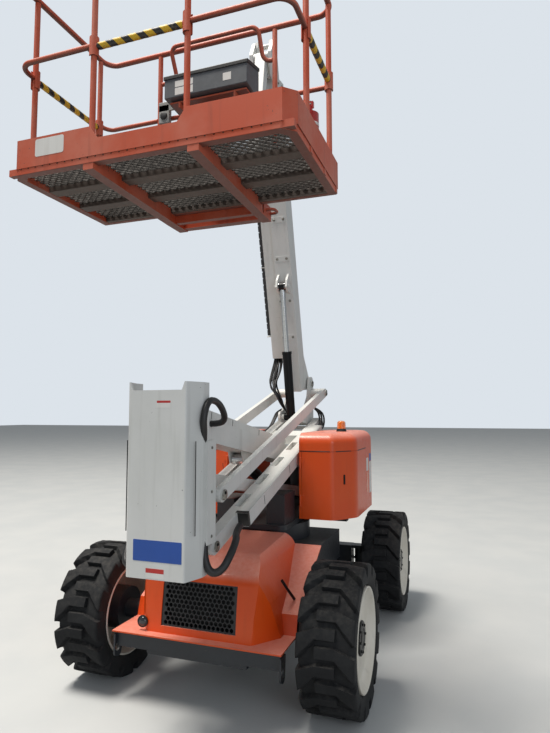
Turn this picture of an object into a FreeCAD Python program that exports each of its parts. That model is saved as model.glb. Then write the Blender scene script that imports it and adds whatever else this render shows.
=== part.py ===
import FreeCAD, Part
import math
import os
import re
from FreeCAD import Placement, Rotation, Vector

# Articulating boom lift, millimetres. +Z up, origin on the ground under the slewing axis.
# -Y is the end with the bonnet, over which the platform hangs. +X is the right as seen from there.

doc = FreeCAD.newDocument("boom_lift")
sheet = doc.addObject("Spreadsheet::Sheet", "Sizes")

# Driving sizes: name, value, what it is
SIZES = (
    ("track", 1616, "between the middles of the tyres"),
    ("wheelbase", 1876, "between the axles"),
    ("tyre_radius", 428, "out to the lugs' tips"),
    ("tyre_wide", 330, "tread width"),
    ("tyre_inset", 30, "bead and tread edge from the shoulder's side"),
    ("lug_high", 30, "lug above the tread"),
    ("lug_count", 14, "lugs on each side of a tyre"),
    ("lug_root", 362, "foot of the lugs on the sidewall"),
    ("lug_thick", 62, "middle bar of a lug, round the tread"),
    ("lug_reach", 60, "middle bar past the middle of the tread"),
    ("lug_fall", 75, "fall of a lug's arm toward the shoulder"),
    ("lug_flare", 135, "lug at the shoulder, round the tread"),
    ("rim_radius", 295, "rim's flange"),
    ("rim_dish", 58, "depth of the wheel disc in the rim"),
    ("hub_radius", 98, "hub on the wheel disc"),
    ("hub_proud", 23, "hub before the wheel disc"),
    ("axle_radius", 62, "round axle tube"),
    ("frame_half", 330, "half width of the chassis beam"),
    ("frame_low", 300, "underside of the chassis beam"),
    ("frame_top", 560, "top of the chassis beam"),
    ("plate", 10, "usual plate thickness"),
    ("beam_ahead", 247, "chassis beam's full height past the front axle"),
    ("beam_behind", 67, "chassis beam past the rear axle"),
    ("bumper_ahead", 352, "bumper plate past the front axle"),
    ("bumper_offset", -263, "end of the bumper plate from the tyre's middle"),
    ("flange_ahead", 387, "front edge of the bonnet's flange past the front axle"),
    ("flange_offset", -253, "side of the bonnet's flange from the tyre's middle"),
    ("step_ahead", 72, "step in the side of the bonnet past the front axle"),
    ("bonnet_back", 440, "rear edge of the bonnet"),
    ("bonnet_low", 420, "underside of the flange"),
    ("bonnet_top", 902, "top of the bonnet's hump"),
    ("bonnet_skin", 8, "thickness of the bonnet"),
    ("grille_offset", -558, "side of the grille from the tyre's middle"),
    ("grille_high", 270, "height of the grille"),
    ("grille_pitch", 29.4, "between the grille's holes"),
    ("grille_web", 5, "web between the grille's holes"),
    ("tank_half", 500, "half width over the side tanks"),
    ("tank_top", 790, "top of the side tanks"),
    ("tank_back", 360, "rear end of the side tanks"),
    ("pin_offset", -248, "kingpin from the tyre's middle"),
    ("steer_reach", 137, "steering link behind the kingpins"),
    ("ring_radius", 330, "slewing ring"),
    ("deck_low", 912, "underside of the turntable"),
    ("deck_thick", 36, "turntable plate"),
    ("cowl_low", 950, "bottom edge of the cowls"),
    ("cowl_top", 1610, "top of the cowls"),
    ("cowl_in", 300, "inner wall of the cowls"),
    ("cowl_out", 720, "outer wall of the cowls"),
    ("cowl_front", 140, "front wall of the cowls before the slewing axis"),
    ("cowl_back", 850, "rear wall of the cowls"),
    ("cowl_skin", 10, "thickness of the cowls"),
    ("seam_top", 1470, "top of the cowl doors"),
    ("seam_back", 430, "rear edge of the cowl doors"),
    ("knuckle_y", 1440, "pins of the knuckle before the slewing axis"),
    ("tower_y", 895, "rear pins of the upper arms"),
    ("arm_low", 1020, "front pin of the upper arms"),
    ("arm_rise", 650, "rise of the upper arms at rest"),
    ("arm_gap", 290, "upper links above the upper arms"),
    ("boom_pin_high", 1692, "front pin of the lower boom"),
    ("lower_pin_y", 780, "rear pin of the lower boom"),
    ("lower_pin_z", 1324, "rear pin of the lower boom"),
    ("lower_gap", 300, "lower link under the lower boom"),
    ("lower_half", 92, "half width of the lower boom"),
    ("lower_deep", 140, "depth of the lower boom"),
    ("arm_in", 132, "inner side of the upper arms"),
    ("arm_out", 204, "outer side of the upper arms"),
    ("arm_deep", 96, "depth of the upper arms"),
    ("tray_out", 276, "outer side of the hose tray"),
    ("link_in", 214, "inner side of the upper links"),
    ("link_out", 250, "outer side of the upper links"),
    ("link_deep", 84, "depth of the upper links"),
    ("pin", 25, "radius of the large pins"),
    ("knuckle_front", 1750, "front face of the knuckle"),
    ("knuckle_half", 176, "half width of the knuckle's front face"),
    ("knuckle_low", 900, "bottom of the knuckle"),
    ("knuckle_top", 1940, "top of the knuckle"),
    ("boom_pin_y", 895, "foot pin of the main boom"),
    ("boom_pin_z", 2050, "foot pin of the main boom"),
    ("boom_angle", 75, "main boom above the horizon at rest"),
    ("boom_half", 78, "half width of the main boom"),
    ("boom_deep", 176, "depth of the main boom"),
    ("boom_drop", 250, "front face of the boom before the foot pin"),
    ("boom_wall", 6, "wall of the boom sections"),
    ("boom_long", 2760, "outer boom from the foot pin to its head"),
    ("chain_pitch", 60, "links of the energy chain"),
    ("chain_gap", 9, "gap between the links' outer plates"),
    ("ram_y", 592, "foot pin of the boom cylinder"),
    ("ram_z", 1733, "foot pin of the boom cylinder"),
    ("nose_y", -100, "jib pin, along Y"),
    ("nose_z", 4900, "jib pin, height"),
    ("jib_long", 1250, "jib between its pins"),
    ("jib_angle", 80, "jib below the horizon at rest"),
    ("cage_half", 853, "half width of the platform"),
    ("cage_front", 1980, "front of the platform"),
    ("cage_back", 1090, "rear of the platform"),
    ("cage_low", 3150, "bottom of the platform"),
    ("toe_high", 160, "toe board"),
    ("toe_thin", 5, "toe board's plate"),
    ("rail_radius", 18, "guard rail tube"),
    ("rail_bend", 90, "bends of the guard rails"),
    ("rail_top", 4280, "middle of the top rail"),
    ("rail_mid", 3780, "middle of the middle rail"),
    ("turn_y", 640, "rotator's axis before the slewing axis"),
    ("wing_low", 540, "side of the bonnet behind its step"),
    ("wing_high", 832, "side of the bonnet at its rear"),
)
for row, (name, value, note) in enumerate(SIZES, 1):
    sheet.set("A%d" % row, name)
    sheet.set("B%d" % row, str(value))
    sheet.set("C%d" % row, note)
    sheet.setAlias("B%d" % row, name)
doc.recompute()


class Values:
    """The sheet's numbers by name."""


size = Values()
for name, value, note in SIZES:
    setattr(size, name, float(sheet.get(name)))

# Sizes that follow another: name, the size it follows, its share of that, and what is added
FOLLOWING = (
    ("beam_front", "wheelbase", 0.5, "beam_ahead"),
    ("beam_back", "wheelbase", 0.5, "beam_behind"),
    ("bumper_front", "wheelbase", 0.5, "bumper_ahead"),
    ("bonnet_front", "wheelbase", 0.5, "flange_ahead"),
    ("wing_step", "wheelbase", 0.5, "step_ahead"),
    ("bumper_half", "track", 0.5, "bumper_offset"),
    ("bonnet_half", "track", 0.5, "flange_offset"),
    ("grille_half", "track", 0.5, "grille_offset"),
    ("steer_pin", "track", 0.5, "pin_offset"),
)
formulas = {}
for name, base, share, extra in FOLLOWING:
    setattr(size, name, getattr(size, base) * share + getattr(size, extra))
    formulas[name] = "(Sizes.%s * %g + Sizes.%s)" % (base, share, extra)


# Helpers. A span is a pair of sheet expressions, an outline a list of points with a corner radius.

nodes = {}
WORD = re.compile("[a-z_]{3,}")


def cell(match):
    word = match.group()
    if word in formulas:
        return formulas[word]
    return "Sizes." + word if hasattr(size, word) else word


def linked(text):
    """A sheet expression with each size's name pointing at its cell."""
    return WORD.sub(cell, str(text))


def bind(item, **links):
    for prop, text in links.items():
        item.setExpression(prop.replace("_at_", ".Base."), linked(text))
    return item


def block(name, across, along, up):
    """A box between two planes each way."""
    item = doc.addObject("Part::Box", name)
    spans = {"Length": across, "Width": along, "Height": up}
    for prop, (low, high) in spans.items():
        item.setExpression(prop, linked("(%s) - (%s)" % (high, low)))
    return bind(item, Placement_at_x=across[0], Placement_at_y=along[0], Placement_at_z=up[0])


TURNS = {"X": Rotation(Vector(0, 1, 0), 90), "Y": Rotation(Vector(1, 0, 0), -90), "Z": Rotation()}


def rod(name, axis, place, radius, span):
    """A cylinder along an axis. place gives the other two coordinates in X, Y, Z order."""
    item = doc.addObject("Part::Cylinder", name)
    item.Placement = Placement(Vector(), TURNS[axis])
    start = list(place)
    start.insert("XYZ".index(axis), span[0])
    bind(item, Radius=radius, Height="(%s) - (%s)" % (span[1], span[0]))
    return bind(item, Placement_at_x=start[0], Placement_at_y=start[1], Placement_at_z=start[2])


def rounded(points):
    """Edges of a closed outline whose points are (u, v) or (u, v, corner radius)."""
    flat = [Vector(p[0], p[1], 0) for p in points]
    radii = [p[2] if len(p) > 2 else 0 for p in points]
    count = len(points)
    ends = []
    for k in range(count):
        here = flat[k]
        to_last = (flat[k - 1] - here).normalize()
        to_next = (flat[(k + 1) % count] - here).normalize()
        half = to_last.getAngle(to_next) / 2
        if radii[k] == 0 or half > math.pi / 2 - 0.001:
            ends.append((here, here, None))
            continue
        step = radii[k] / math.tan(half)
        middle = here + (to_last + to_next).normalize() * (radii[k] / math.sin(half) - radii[k])
        ends.append((here + to_last * step, here + to_next * step, middle))
    edges = []
    for k in range(count):
        first, last, middle = ends[k]
        if middle is not None:
            edges.append(Part.Arc(first, middle, last))
        start = last
        stop = ends[(k + 1) % count][0]
        if (stop - start).Length > 0.001:
            edges.append(Part.LineSegment(start, stop))
    return edges


PLANES = {"XY": ("XY_Plane", 1), "XZ": ("XZ_Plane", -1), "YZ": ("YZ_Plane", 1)}


def prism(name, plane, points, span):
    """A padded outline. XZ outlines are padded along Y, YZ ones along X."""
    role, way = PLANES[plane]
    body = doc.addObject("PartDesign::Body", name)
    sketch = body.newObject("Sketcher::SketchObject", name + "_outline")
    base = [f for f in body.Origin.OriginFeatures if f.Role == role][0]
    sketch.AttachmentSupport = [(base, "")]
    sketch.MapMode = "FlatFace"
    start = span[0] if way > 0 else "-(%s)" % span[1]
    sketch.setExpression("AttachmentOffset.Base.z", linked(start))
    for edge in rounded(points):
        sketch.addGeometry(edge, False)
    pad = body.newObject("PartDesign::Pad", name + "_pad")
    pad.Profile = sketch
    pad.setExpression("Length", linked("(%s) - (%s)" % (span[1], span[0])))
    sketch.Visibility = False
    return body


def fuse(name, items):
    item = doc.addObject("Part::MultiFuse", name)
    item.Shapes = items
    item.Refine = True
    return item


def cut(name, base, tools):
    item = doc.addObject("Part::Cut", name)
    item.Base = base
    item.Tool = tools[0] if len(tools) == 1 else fuse(name + "_tools", tools)
    item.Refine = True
    return item


def common(name, first, second):
    item = doc.addObject("Part::Common", name)
    item.Base = first
    item.Tool = second
    return item


def mirrored(name, source):
    """The same piece on the other side of the machine."""
    item = doc.addObject("Part::Mirroring", name)
    item.Source = source
    item.Normal = (1, 0, 0)
    item.Base = (0, 0, 0)
    return item


def placed(name, source, spot, turn=Rotation()):
    """A copy that follows its source, turned and then moved to spot."""
    item = doc.addObject("Part::Compound", name)
    item.Links = [source]
    item.Placement = Placement(spot, turn)
    return item


def shaped(name, shape):
    item = doc.addObject("Part::Feature", name)
    item.Shape = shape
    return item


def node(name, item):
    item.Label = name
    nodes[name] = item
    return item


def tube_path(points, bend):
    """Straight runs joined by tangent arcs; bend is one radius, or 0 for the largest that fits."""
    edges = []
    start = points[0]
    for k in range(1, len(points) - 1):
        corner = points[k]
        back = (points[k - 1] - corner)
        ahead = (points[k + 1] - corner)
        half = back.getAngle(ahead) / 2
        run = min(back.Length, ahead.Length)
        radius = bend if bend else 0.45 * run * math.tan(half)
        step = radius / math.tan(half)
        back.normalize()
        ahead.normalize()
        first = corner + back * step
        last = corner + ahead * step
        middle = corner + (back + ahead).normalize() * (radius / math.sin(half) - radius)
        if (first - start).Length > 0.001:
            edges.append(Part.LineSegment(start, first).toShape())
        edges.append(Part.Arc(first, middle, last).toShape())
        start = last
    edges.append(Part.LineSegment(start, points[-1]).toShape())
    return Part.Wire(edges)


def tube(points, radius, bend):
    """A round solid swept along a path of runs and arcs."""
    path = tube_path([Vector(*p) for p in points], bend)
    start = Vector(*points[0])
    heading = Vector(*points[1]) - start
    ring = Part.Wire(Part.Circle(start, heading, radius).toShape())
    return path.makePipeShell([ring], True, False)


def closed_tube(points, radius, bend):
    """A ring of tube through the corners given, made of two halves."""
    middle = [(a + b) / 2 for a, b in zip(points[0], points[1])]
    half = len(points) // 2
    other = [(a + b) / 2 for a, b in zip(points[half], points[(half + 1) % len(points)])]
    first = [middle] + list(points[1:half + 1]) + [other]
    last = [other] + list(points[half + 1:]) + [points[0], middle]
    return tube(first, radius, bend).fuse(tube(last, radius, bend))


# Wheels: tyre with slanted lugs, dished wheel disc

def flat_sided(profile, count):
    """A ring of flat facets: the profile of (out, across) points stepped round the X axis."""
    faces = []
    ring = []
    for k in range(count):
        angle = 2 * math.pi * k / count
        ring.append([Vector(across, -out * math.sin(angle), out * math.cos(angle)) for out, across in profile])
    for k in range(count):
        here, ahead = ring[k], ring[(k + 1) % count]
        for m in range(len(profile)):
            n = (m + 1) % len(profile)
            faces.append(Part.Face(Part.makePolygon([here[m], here[n], ahead[n], ahead[m], here[m]])))
    return Part.Solid(Part.Shell(faces))


def tyre_shape():
    tread = size.tyre_radius - size.lug_high
    half = size.tyre_wide / 2
    sides = 2 * int(size.lug_count)
    bead = (size.rim_radius + 0.3) / math.cos(math.pi / sides)
    edge = half - size.tyre_inset
    wall = half - 4
    carcass = flat_sided([(bead, -edge), (size.lug_root - 10, -wall), (tread, -edge), (tread, edge),
                          (size.lug_root - 10, wall), (bead, edge)], sides)
    # Seen on the tread, a lug is a bar across the middle and an arm that falls and widens to the shoulder.
    bend = size.lug_reach - 5
    top = (size.lug_fall + (size.lug_thick + size.lug_flare) / 2) / 2
    foot = top - size.lug_thick / 2 - size.lug_fall - size.lug_flare / 2
    outline = [(-size.lug_reach, top), (bend, top), (half, foot + size.lug_flare), (half, foot),
               (bend, top - size.lug_thick), (-size.lug_reach, top - size.lug_thick)]
    crown = math.sqrt(size.tyre_radius ** 2 - top ** 2)
    lugs = []
    for side in (-1, 1):
        flat = [Vector(side * u, v, size.lug_root) for u, v in outline]
        face = Part.Face(Part.makePolygon(flat + flat[:1]))
        lug = face.extrude(Vector(0, 0, crown - size.lug_root))
        for k in range(int(size.lug_count)):
            turned = lug.copy()
            turned.rotate(Vector(), Vector(1, 0, 0), (k + (0.5 if side > 0 else 0)) * 360 / size.lug_count)
            lugs.append(turned)
    return carcass.fuse(lugs)


def rim_shape():
    """Wheel disc and rim, its outer face towards +X."""
    half = size.tyre_wide / 2
    lip = size.rim_radius
    disc = half - size.rim_dish
    profile = [
        (0, disc), (0, disc + size.hub_proud), (size.hub_radius - 5, disc + size.hub_proud),
        (size.hub_radius, disc + size.hub_proud - 5), (size.hub_radius, disc + 10), (lip - 56, disc + 6),
        (lip - 30, disc + 22), (lip - 12, half - 8),
        (lip, half - 8), (lip, -half + 20), (lip - 12, -half + 20), (lip - 12, -half + 36),
        (lip - 22, -half + 60), (lip - 22, disc - 10), (lip - 50, disc),
    ]
    corners = [Vector(across, 0, out) for out, across in profile]
    ring = Part.Face(Part.makePolygon(corners + corners[:1]))
    return ring.revolve(Vector(), Vector(1, 0, 0), 360)


tyre_source = shaped("tyre_source", tyre_shape())
rim_source = shaped("rim_source", rim_shape())
WHEELS = (("front_left", -1, -1), ("front_right", 1, -1), ("rear_left", -1, 1), ("rear_right", 1, 1))
for name, side, end in WHEELS:
    spot = Vector(side * size.track / 2, end * size.wheelbase / 2, size.tyre_radius)
    turn = Rotation() if side > 0 else Rotation(Vector(0, 0, 1), 180)
    node("tyre_" + name, placed("Tyre_" + name, tyre_source, spot))
    node("rim_" + name, placed("Rim_" + name, rim_source, spot, turn))

# Chassis: beam, bumper, side tanks, pedestal of the slewing ring

frame_parts = [
    block("Beam", ("-frame_half", "frame_half"), ("-beam_front", "beam_back"), ("frame_low", "frame_top")),
    block("Beam_nose", ("-frame_half", "frame_half"), ("-bumper_front + plate", "-beam_front + 1"),
          ("frame_low", "bonnet_low - 5")),
    block("Bumper", ("-bumper_half", "bumper_half"), ("-bumper_front", "-bumper_front + plate"),
          ("frame_low + 25", "bonnet_low - 0.3")),
    block("Tanks", ("-tank_half", "tank_half"), ("-bonnet_back + 6", "tank_back"), ("frame_top", "tank_top")),
    rod("Pedestal", "Z", ("0", "0"), "ring_radius", ("tank_top", "deck_low - 0.4")),
]
for side in (-1, 1):
    edge = size.bumper_half
    ear = prism("Tie_ear_%d" % (side + 1), "YZ", [
        (-size.bumper_front + 60, 400), (-size.bumper_front - 20, 400), (-size.bumper_front - 26, 270, 30),
        (-size.bumper_front + 42, 244, 30)], ("%g" % (side * edge - 6), "%g" % (side * edge + 6)))
    hole = rod("Tie_hole_%d" % (side + 1), "X", ("-bumper_front + 6", "318"), "26",
               ("%g" % (side * edge - 20), "%g" % (side * edge + 20)))
    frame_parts.append(cut("Tie_%d" % (side + 1), ear, [hole]))
node("chassis_frame", fuse("Chassis_frame", frame_parts))

node("engine_block", block("Engine", ("-230", "230"), ("-beam_front + 55", "-bonnet_back - 40"),
                           ("frame_top + 0.3", "frame_top + 250")))

# Axles: the front one carries its wheels on fixed hubs, the rear one has yokes for the steering

wheel_back = "track / 2 + tyre_wide / 2 - rim_dish - 0.4"


def side_span(side, start, stop):
    """A span on one side: as given on the right, the other way round on the left."""
    return (start, stop) if side > 0 else ("-(%s)" % stop, "-(%s)" % start)


stubs = []
for side in (-1, 1):
    for name, radius, start, stop in (
            ("Tube", "axle_radius", "frame_half", "track / 2 - 60"),
            ("Flange", "axle_radius + 60", "frame_half", "frame_half + 16"),
            ("Drive", "140", "track / 2 - 120", "track / 2 + 40"), ("Face", "86", "track / 2 + 40", wheel_back)):
        stubs.append(rod("Front_%s_%d" % (name, side + 1), "X", ("-wheelbase / 2", "tyre_radius"), radius,
                         side_span(side, start, stop)))
node("front_axle", fuse("Front_axle", stubs))

yokes = []
for side in (-1, 1):
    mark = str(side + 1)
    yokes.append(block("Yoke_beam_" + mark, side_span(side, "frame_half", "steer_pin - 70"),
                       ("wheelbase / 2 - 60", "wheelbase / 2 + 60"), ("tyre_radius - 110", "tyre_radius + 110")))
    for level, (low, high) in enumerate((("tyre_radius - 110", "tyre_radius - 84"),
                                         ("tyre_radius + 84", "tyre_radius + 110"))):
        yokes.append(block("Yoke_plate_%s_%d" % (mark, level), side_span(side, "steer_pin - 71", "steer_pin"),
                           ("wheelbase / 2 - 52", "wheelbase / 2 + 52"), (low, high)))
        yokes.append(rod("Yoke_eye_%s_%d" % (mark, level), "Z",
                         ("%d * steer_pin" % side, "wheelbase / 2"), "52", (low, high)))
    yokes.append(rod("Kingpin_" + mark, "Z", ("%d * steer_pin" % side, "wheelbase / 2"), "pin",
                     ("tyre_radius - 110", "tyre_radius + 110")))
node("steering_axle", fuse("Steering_axle", yokes))

for name, side in (("left", -1), ("right", 1)):
    spot = ("%d * steer_pin" % side, "wheelbase / 2")
    parts = [
        rod("Steer_eye_" + name, "Z", spot, "48", ("tyre_radius - 83.6", "tyre_radius + 83.6")),
        block("Steer_neck_" + name, side_span(side, "steer_pin + 20", "track / 2 - 110"),
              ("wheelbase / 2 - 46", "wheelbase / 2 + 46"), ("tyre_radius - 60", "tyre_radius + 60")),
        rod("Steer_drive_" + name, "X", ("wheelbase / 2", "tyre_radius"), "135",
            side_span(side, "track / 2 - 112", "track / 2 + 40")),
        rod("Steer_face_" + name, "X", ("wheelbase / 2", "tyre_radius"), "86",
            side_span(side, "track / 2 + 40", wheel_back)),
        block("Steer_arm_" + name, side_span(side, "steer_pin - 30", "steer_pin + 30"),
              ("wheelbase / 2 + 20", "wheelbase / 2 + steer_reach + 68"), ("tyre_radius - 12", "tyre_radius + 12")),
    ]
    slot = block("Steer_slot_" + name, side_span(side, "steer_pin - 15.5", "steer_pin + 15.5"),
                 ("wheelbase / 2 + steer_reach - 19", "wheelbase / 2 + steer_reach + 41"),
                 ("tyre_radius - 20", "tyre_radius + 20"))
    bore = rod("Steer_bore_" + name, "Z", spot, "pin + 0.3", ("tyre_radius - 90", "tyre_radius + 90"))
    node("steering_knuckle_" + name, cut("Steering_knuckle_" + name, fuse("Steer_parts_" + name, parts), [slot, bore]))

steer_y = "wheelbase / 2 + steer_reach"
link_parts = [rod("Steer_link", "X", (steer_y, "tyre_radius - 40"), "16", ("-steer_pin - 24", "steer_pin + 24"))]
for side in (-1, 1):
    link_parts.append(rod("Steer_pin_%d" % (side + 1), "Z", ("%d * steer_pin" % side, steer_y), "12",
                          ("tyre_radius - 56", "tyre_radius + 20")))
node("steering_link", fuse("Steering_link", link_parts))
barrel = rod("Steer_barrel", "X", (steer_y, "tyre_radius - 40"), "38", ("-200", "200"))
saddles = [block("Steer_saddle_%d" % k, (str(x - 20), str(x + 20)), ("beam_back", steer_y),
                 ("tyre_radius - 62", "tyre_radius - 18")) for k, x in enumerate((-150, 150))]
bore = rod("Steer_barrel_bore", "X", (steer_y, "tyre_radius - 40"), "16.3", ("-300", "300"))
node("steering_cylinder", cut("Steering_cylinder", fuse("Steer_barrel_parts", [barrel] + saddles), [bore]))

# Bonnet: a flange all round and a hump between the wheels, with the grille in its nose


def extruded(plane, points, low, high):
    """A solid from an outline, between two planes across the third direction."""
    face = Part.Face(Part.Wire([e.toShape() for e in rounded(points)]))
    solid = face.extrude(Vector(0, 0, high - low))
    solid.translate(Vector(0, 0, low))
    turns = {"XY": Rotation(), "XZ": Rotation(Vector(1, 0, 0), 90), "YZ": Rotation(Vector(1, 1, 1), 120)}
    return solid.copy() if plane == "XY" else solid.transformed(Placement(Vector(), turns[plane]).toMatrix(), True)


def hump(inset, open_by):
    """The rounded cover seen from the side, the front and above, brought in by its wall."""
    low, top, rear = size.bonnet_low, size.bonnet_top - inset, -size.bonnet_back + open_by
    nose, half = -size.bonnet_front, size.bonnet_half
    step = -size.wing_step + 2 * open_by
    side = extruded("YZ", [(rear, top), (rear, size.wing_high - 4 - open_by), (step, size.wing_low - 4 - open_by),
                           (step - 35, low - open_by), (nose + 61 + inset, low - open_by), (nose + 75 + inset, 560),
                           (nose + 107 + inset, 780 - inset, 90 - inset), (nose + 265, top - 16, 200)],
                    -half - 45, half + 45)
    foot, hip, crown = half - 75 - inset, half - 125 - inset, half - 225 - inset
    ahead = extruded("XZ", [(-foot, low - 9), (-hip, 640, 90), (-crown, top + 6, 120 - inset),
                            (crown, top + 6, 120 - inset), (hip, 640, 90), (foot, low - 9)], 100, -nose + 75)
    flank, face = half - 65 - inset, half - 210 - inset
    plan = extruded("XY", [(-flank, rear), (-flank, nose + 245, 90), (-face, nose + 55 + inset, 60),
                           (face, nose + 55 + inset, 60), (flank, nose + 245, 90), (flank, rear)], low - 120, top + 98)
    return ahead.common(plan).common(side)


skin = size.bonnet_skin
outer = hump(0, 0)
inner = hump(skin, 14)
low = size.bonnet_low
step = -size.wing_step
wing = extruded("YZ", [(-size.bonnet_back, size.wing_high), (step, size.wing_low), (step - 35, low + skin),
                       (-size.bonnet_front, low + skin), (-size.bonnet_front, low), (step - 27, low),
                       (step + 7, size.wing_low - skin), (-size.bonnet_back, size.wing_high - skin)],
                -size.bonnet_half, size.bonnet_half)
nose = -size.bonnet_front
window = Part.makeBox(2 * size.grille_half, 205, size.grille_high, Vector(-size.grille_half, nose - 5, low + 50))
bonnet = outer.fuse(wing).cut(inner).cut(window).removeSplitter()
node("bonnet", shaped("Bonnet", bonnet))
grille_low, grille_top = low + 50.5, low + 49.5 + size.grille_high
panel = extruded("YZ", [(nose + 72, grille_low), (nose + 81, 560), (nose + 105, grille_top), (nose + 117, grille_top),
                        (nose + 93, 560), (nose + 84, grille_low)], -size.grille_half + 0.5, size.grille_half - 0.5)
rise = size.grille_pitch * math.sqrt(3) / 2
corner = (size.grille_pitch - size.grille_web) / math.sqrt(3)
border = corner + 3
rows = int((grille_top - grille_low - 2 * border) / rise) + 1
columns = int(2 * (size.grille_half - border) / size.grille_pitch)
first_row = (grille_low + grille_top - (rows - 1) * rise) / 2
cells = []
for row in range(rows):
    for column in range(columns + 1 - row % 2):
        x = (column - (columns - row % 2) / 2) * size.grille_pitch
        hexagon = [Vector(x + corner * math.sin(k * math.pi / 3), nose, first_row + row * rise +
                          corner * math.cos(k * math.pi / 3)) for k in range(6)]
        cells.append(Part.Face(Part.makePolygon(hexagon + hexagon[:1])).extrude(Vector(0, 200, 0)))
grille = panel.cut(cells)
node("grille", shaped("Grille", grille))

# Turntable: deck plate, uprights for the lower boom, counterweight, control box, ram lugs


def both(span):
    """The same span on the left and on the right."""
    low, high = span
    return ((low, high), ("-(%s)" % high, "-(%s)" % low))


deck = prism("Deck", "XY", [(-285, -440, 60), (285, -440, 60), (285, 930, 40), (-285, 930, 40)],
             ("deck_low", "deck_low + deck_thick"))
deck_top = size.deck_low + size.deck_thick
upright = [(430, deck_top - 5), (900, deck_top - 5), (size.lower_pin_y + 70, size.lower_pin_z + 70, 60),
           (size.lower_pin_y - 70, size.lower_pin_z + 70, 60), (size.lower_pin_y - 110, 1120, 80)]
turn_parts = [deck]
for k, span in enumerate(both(("lower_half + 12", "lower_half + 28"))):
    turn_parts.append(prism("Upright_%d" % k, "YZ", upright, span))
for k, (across, low) in enumerate((("lower_pin_y", "lower_pin_z"), ("lower_pin_y", "lower_pin_z - lower_gap"))):
    turn_parts.append(rod("Upright_pin_%d" % k, "X", (across, low), "pin", ("-lower_half - 36", "lower_half + 36")))
for k, span in enumerate(both(("46", "56"))):
    turn_parts.append(prism("Ram_lug_%d" % k, "YZ", [(290, deck_top - 5), (420, deck_top - 5), (385, 1060, 30),
                                                     (315, 1060, 30)], span))
turn_parts.append(rod("Ram_lug_pin", "X", ("350", "1020"), "20", ("-56", "56")))
for k, span in enumerate(both(("280", "cowl_out - 90"))):
    for m, y in enumerate((60, 600)):
        turn_parts.append(block("Cowl_arm_%d_%d" % (k, m), span, (str(y), str(y + 70)),
                                ("deck_low", "cowl_low - 0.3")))
turn_parts.append(block("Control_box", ("132", "272"), ("-415", "-170"), ("deck_low + deck_thick", "1170")))
turn_parts.append(block("Valve_box", ("-272", "-132"), ("-415", "-120"), ("deck_low + deck_thick", "1120")))
node("turntable", fuse("Turntable", turn_parts))
node("counterweight", prism("Counterweight", "XY", [(-285, 905), (285, 905), (285, 930, 15), (150, 965, 90),
                                                    (-150, 965, 90), (-285, 930, 15)],
                            ("deck_low + deck_thick + 0.3", "1360")))

# Cowls: a hollow shell on each side whose front and outer wall is the door


def cowl_plan(inset):
    low_x, high_x = size.cowl_in + inset, size.cowl_out - inset
    low_y, high_y = -size.cowl_front + inset, size.cowl_back - inset
    return [(low_x, low_y), (high_x - 150, low_y, 60), (high_x, low_y + 190, 130), (high_x, high_y, 170),
            (low_x, high_y)]


def cowl_solid(inset, low, high, round_top):
    wire = Part.Wire([e.toShape() for e in rounded(cowl_plan(inset))])
    solid = Part.Face(wire).extrude(Vector(0, 0, high - low))
    solid.translate(Vector(0, 0, low))
    top = [e for e in solid.Edges if e.BoundBox.ZMin > high - 1 and e.BoundBox.XMax > size.cowl_in + inset + 1]
    return solid.makeFillet(round_top, top) if round_top else solid


skin = size.cowl_skin
whole = cowl_solid(0, size.cowl_low, size.cowl_top, 80)
room = cowl_solid(skin, size.cowl_low - 1, size.cowl_top - skin, 72)
shell = whole.cut(room)
zone = Part.makeBox(500, size.seam_back + 200, size.seam_top - size.cowl_low + 20,
                    Vector(size.cowl_in + 2 * skin, -200, size.cowl_low - 20))
gap = 2.5
zone_door = Part.makeBox(500, size.seam_back + 200 - gap, size.seam_top - size.cowl_low + 20 - gap,
                         Vector(size.cowl_in + 2 * skin + gap, -200, size.cowl_low - 20))
fixed = shell.cut(zone)
tanks = Part.makeBox(230, 500, 360, Vector(size.cowl_in + 60, 200, size.cowl_low + 0.6))
hinge_x, hinge_y = size.cowl_in + 12, -size.cowl_front - 7
fixed_hinge = [fixed]
door_hinge = [shell.common(zone_door)]
for z in (1050, 1340):
    fixed_hinge.append(Part.makeCylinder(7, 40, Vector(hinge_x, hinge_y, z)))
    fixed_hinge.append(Part.makeBox(16, 4, 40, Vector(hinge_x - 10, hinge_y + 3.5, z)))
    door_hinge.append(Part.makeCylinder(7, 40, Vector(hinge_x, hinge_y, z + 40.3)))
    door_hinge.append(Part.makeBox(30, 4, 40, Vector(hinge_x, hinge_y + 2.8, z + 40.3)))
fixed = fixed_hinge[0].fuse(fixed_hinge[1:]).removeSplitter()
door = door_hinge[0].fuse(door_hinge[1:]).cut(
    Part.makeBox(30, 40, 40.6, Vector(hinge_x - 20.5, -size.cowl_front, 1090))).removeSplitter()
node("cowls", shaped("Cowls", Part.makeCompound([fixed, fixed.mirror(Vector(), Vector(1, 0, 0))])))
node("cowl_tanks", shaped("Cowl_tanks", Part.makeCompound([tanks, tanks.mirror(Vector(), Vector(1, 0, 0))])))
node("cowl_door_right", shaped("Cowl_door_right", door))
node("cowl_door_left", shaped("Cowl_door_left", door.mirror(Vector(), Vector(1, 0, 0))))
beacon = [
    rod("Beacon_base", "Z", ("530", "350"), "44", ("cowl_top + 0.3", "cowl_top + 22")),
    rod("Beacon_lens", "Z", ("530", "350"), "36", ("cowl_top + 22", "cowl_top + 92")),
]
node("beacon", fuse("Beacon", beacon))

# Riser: lower boom and link, knuckle, upper arms and links, tower


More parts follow.
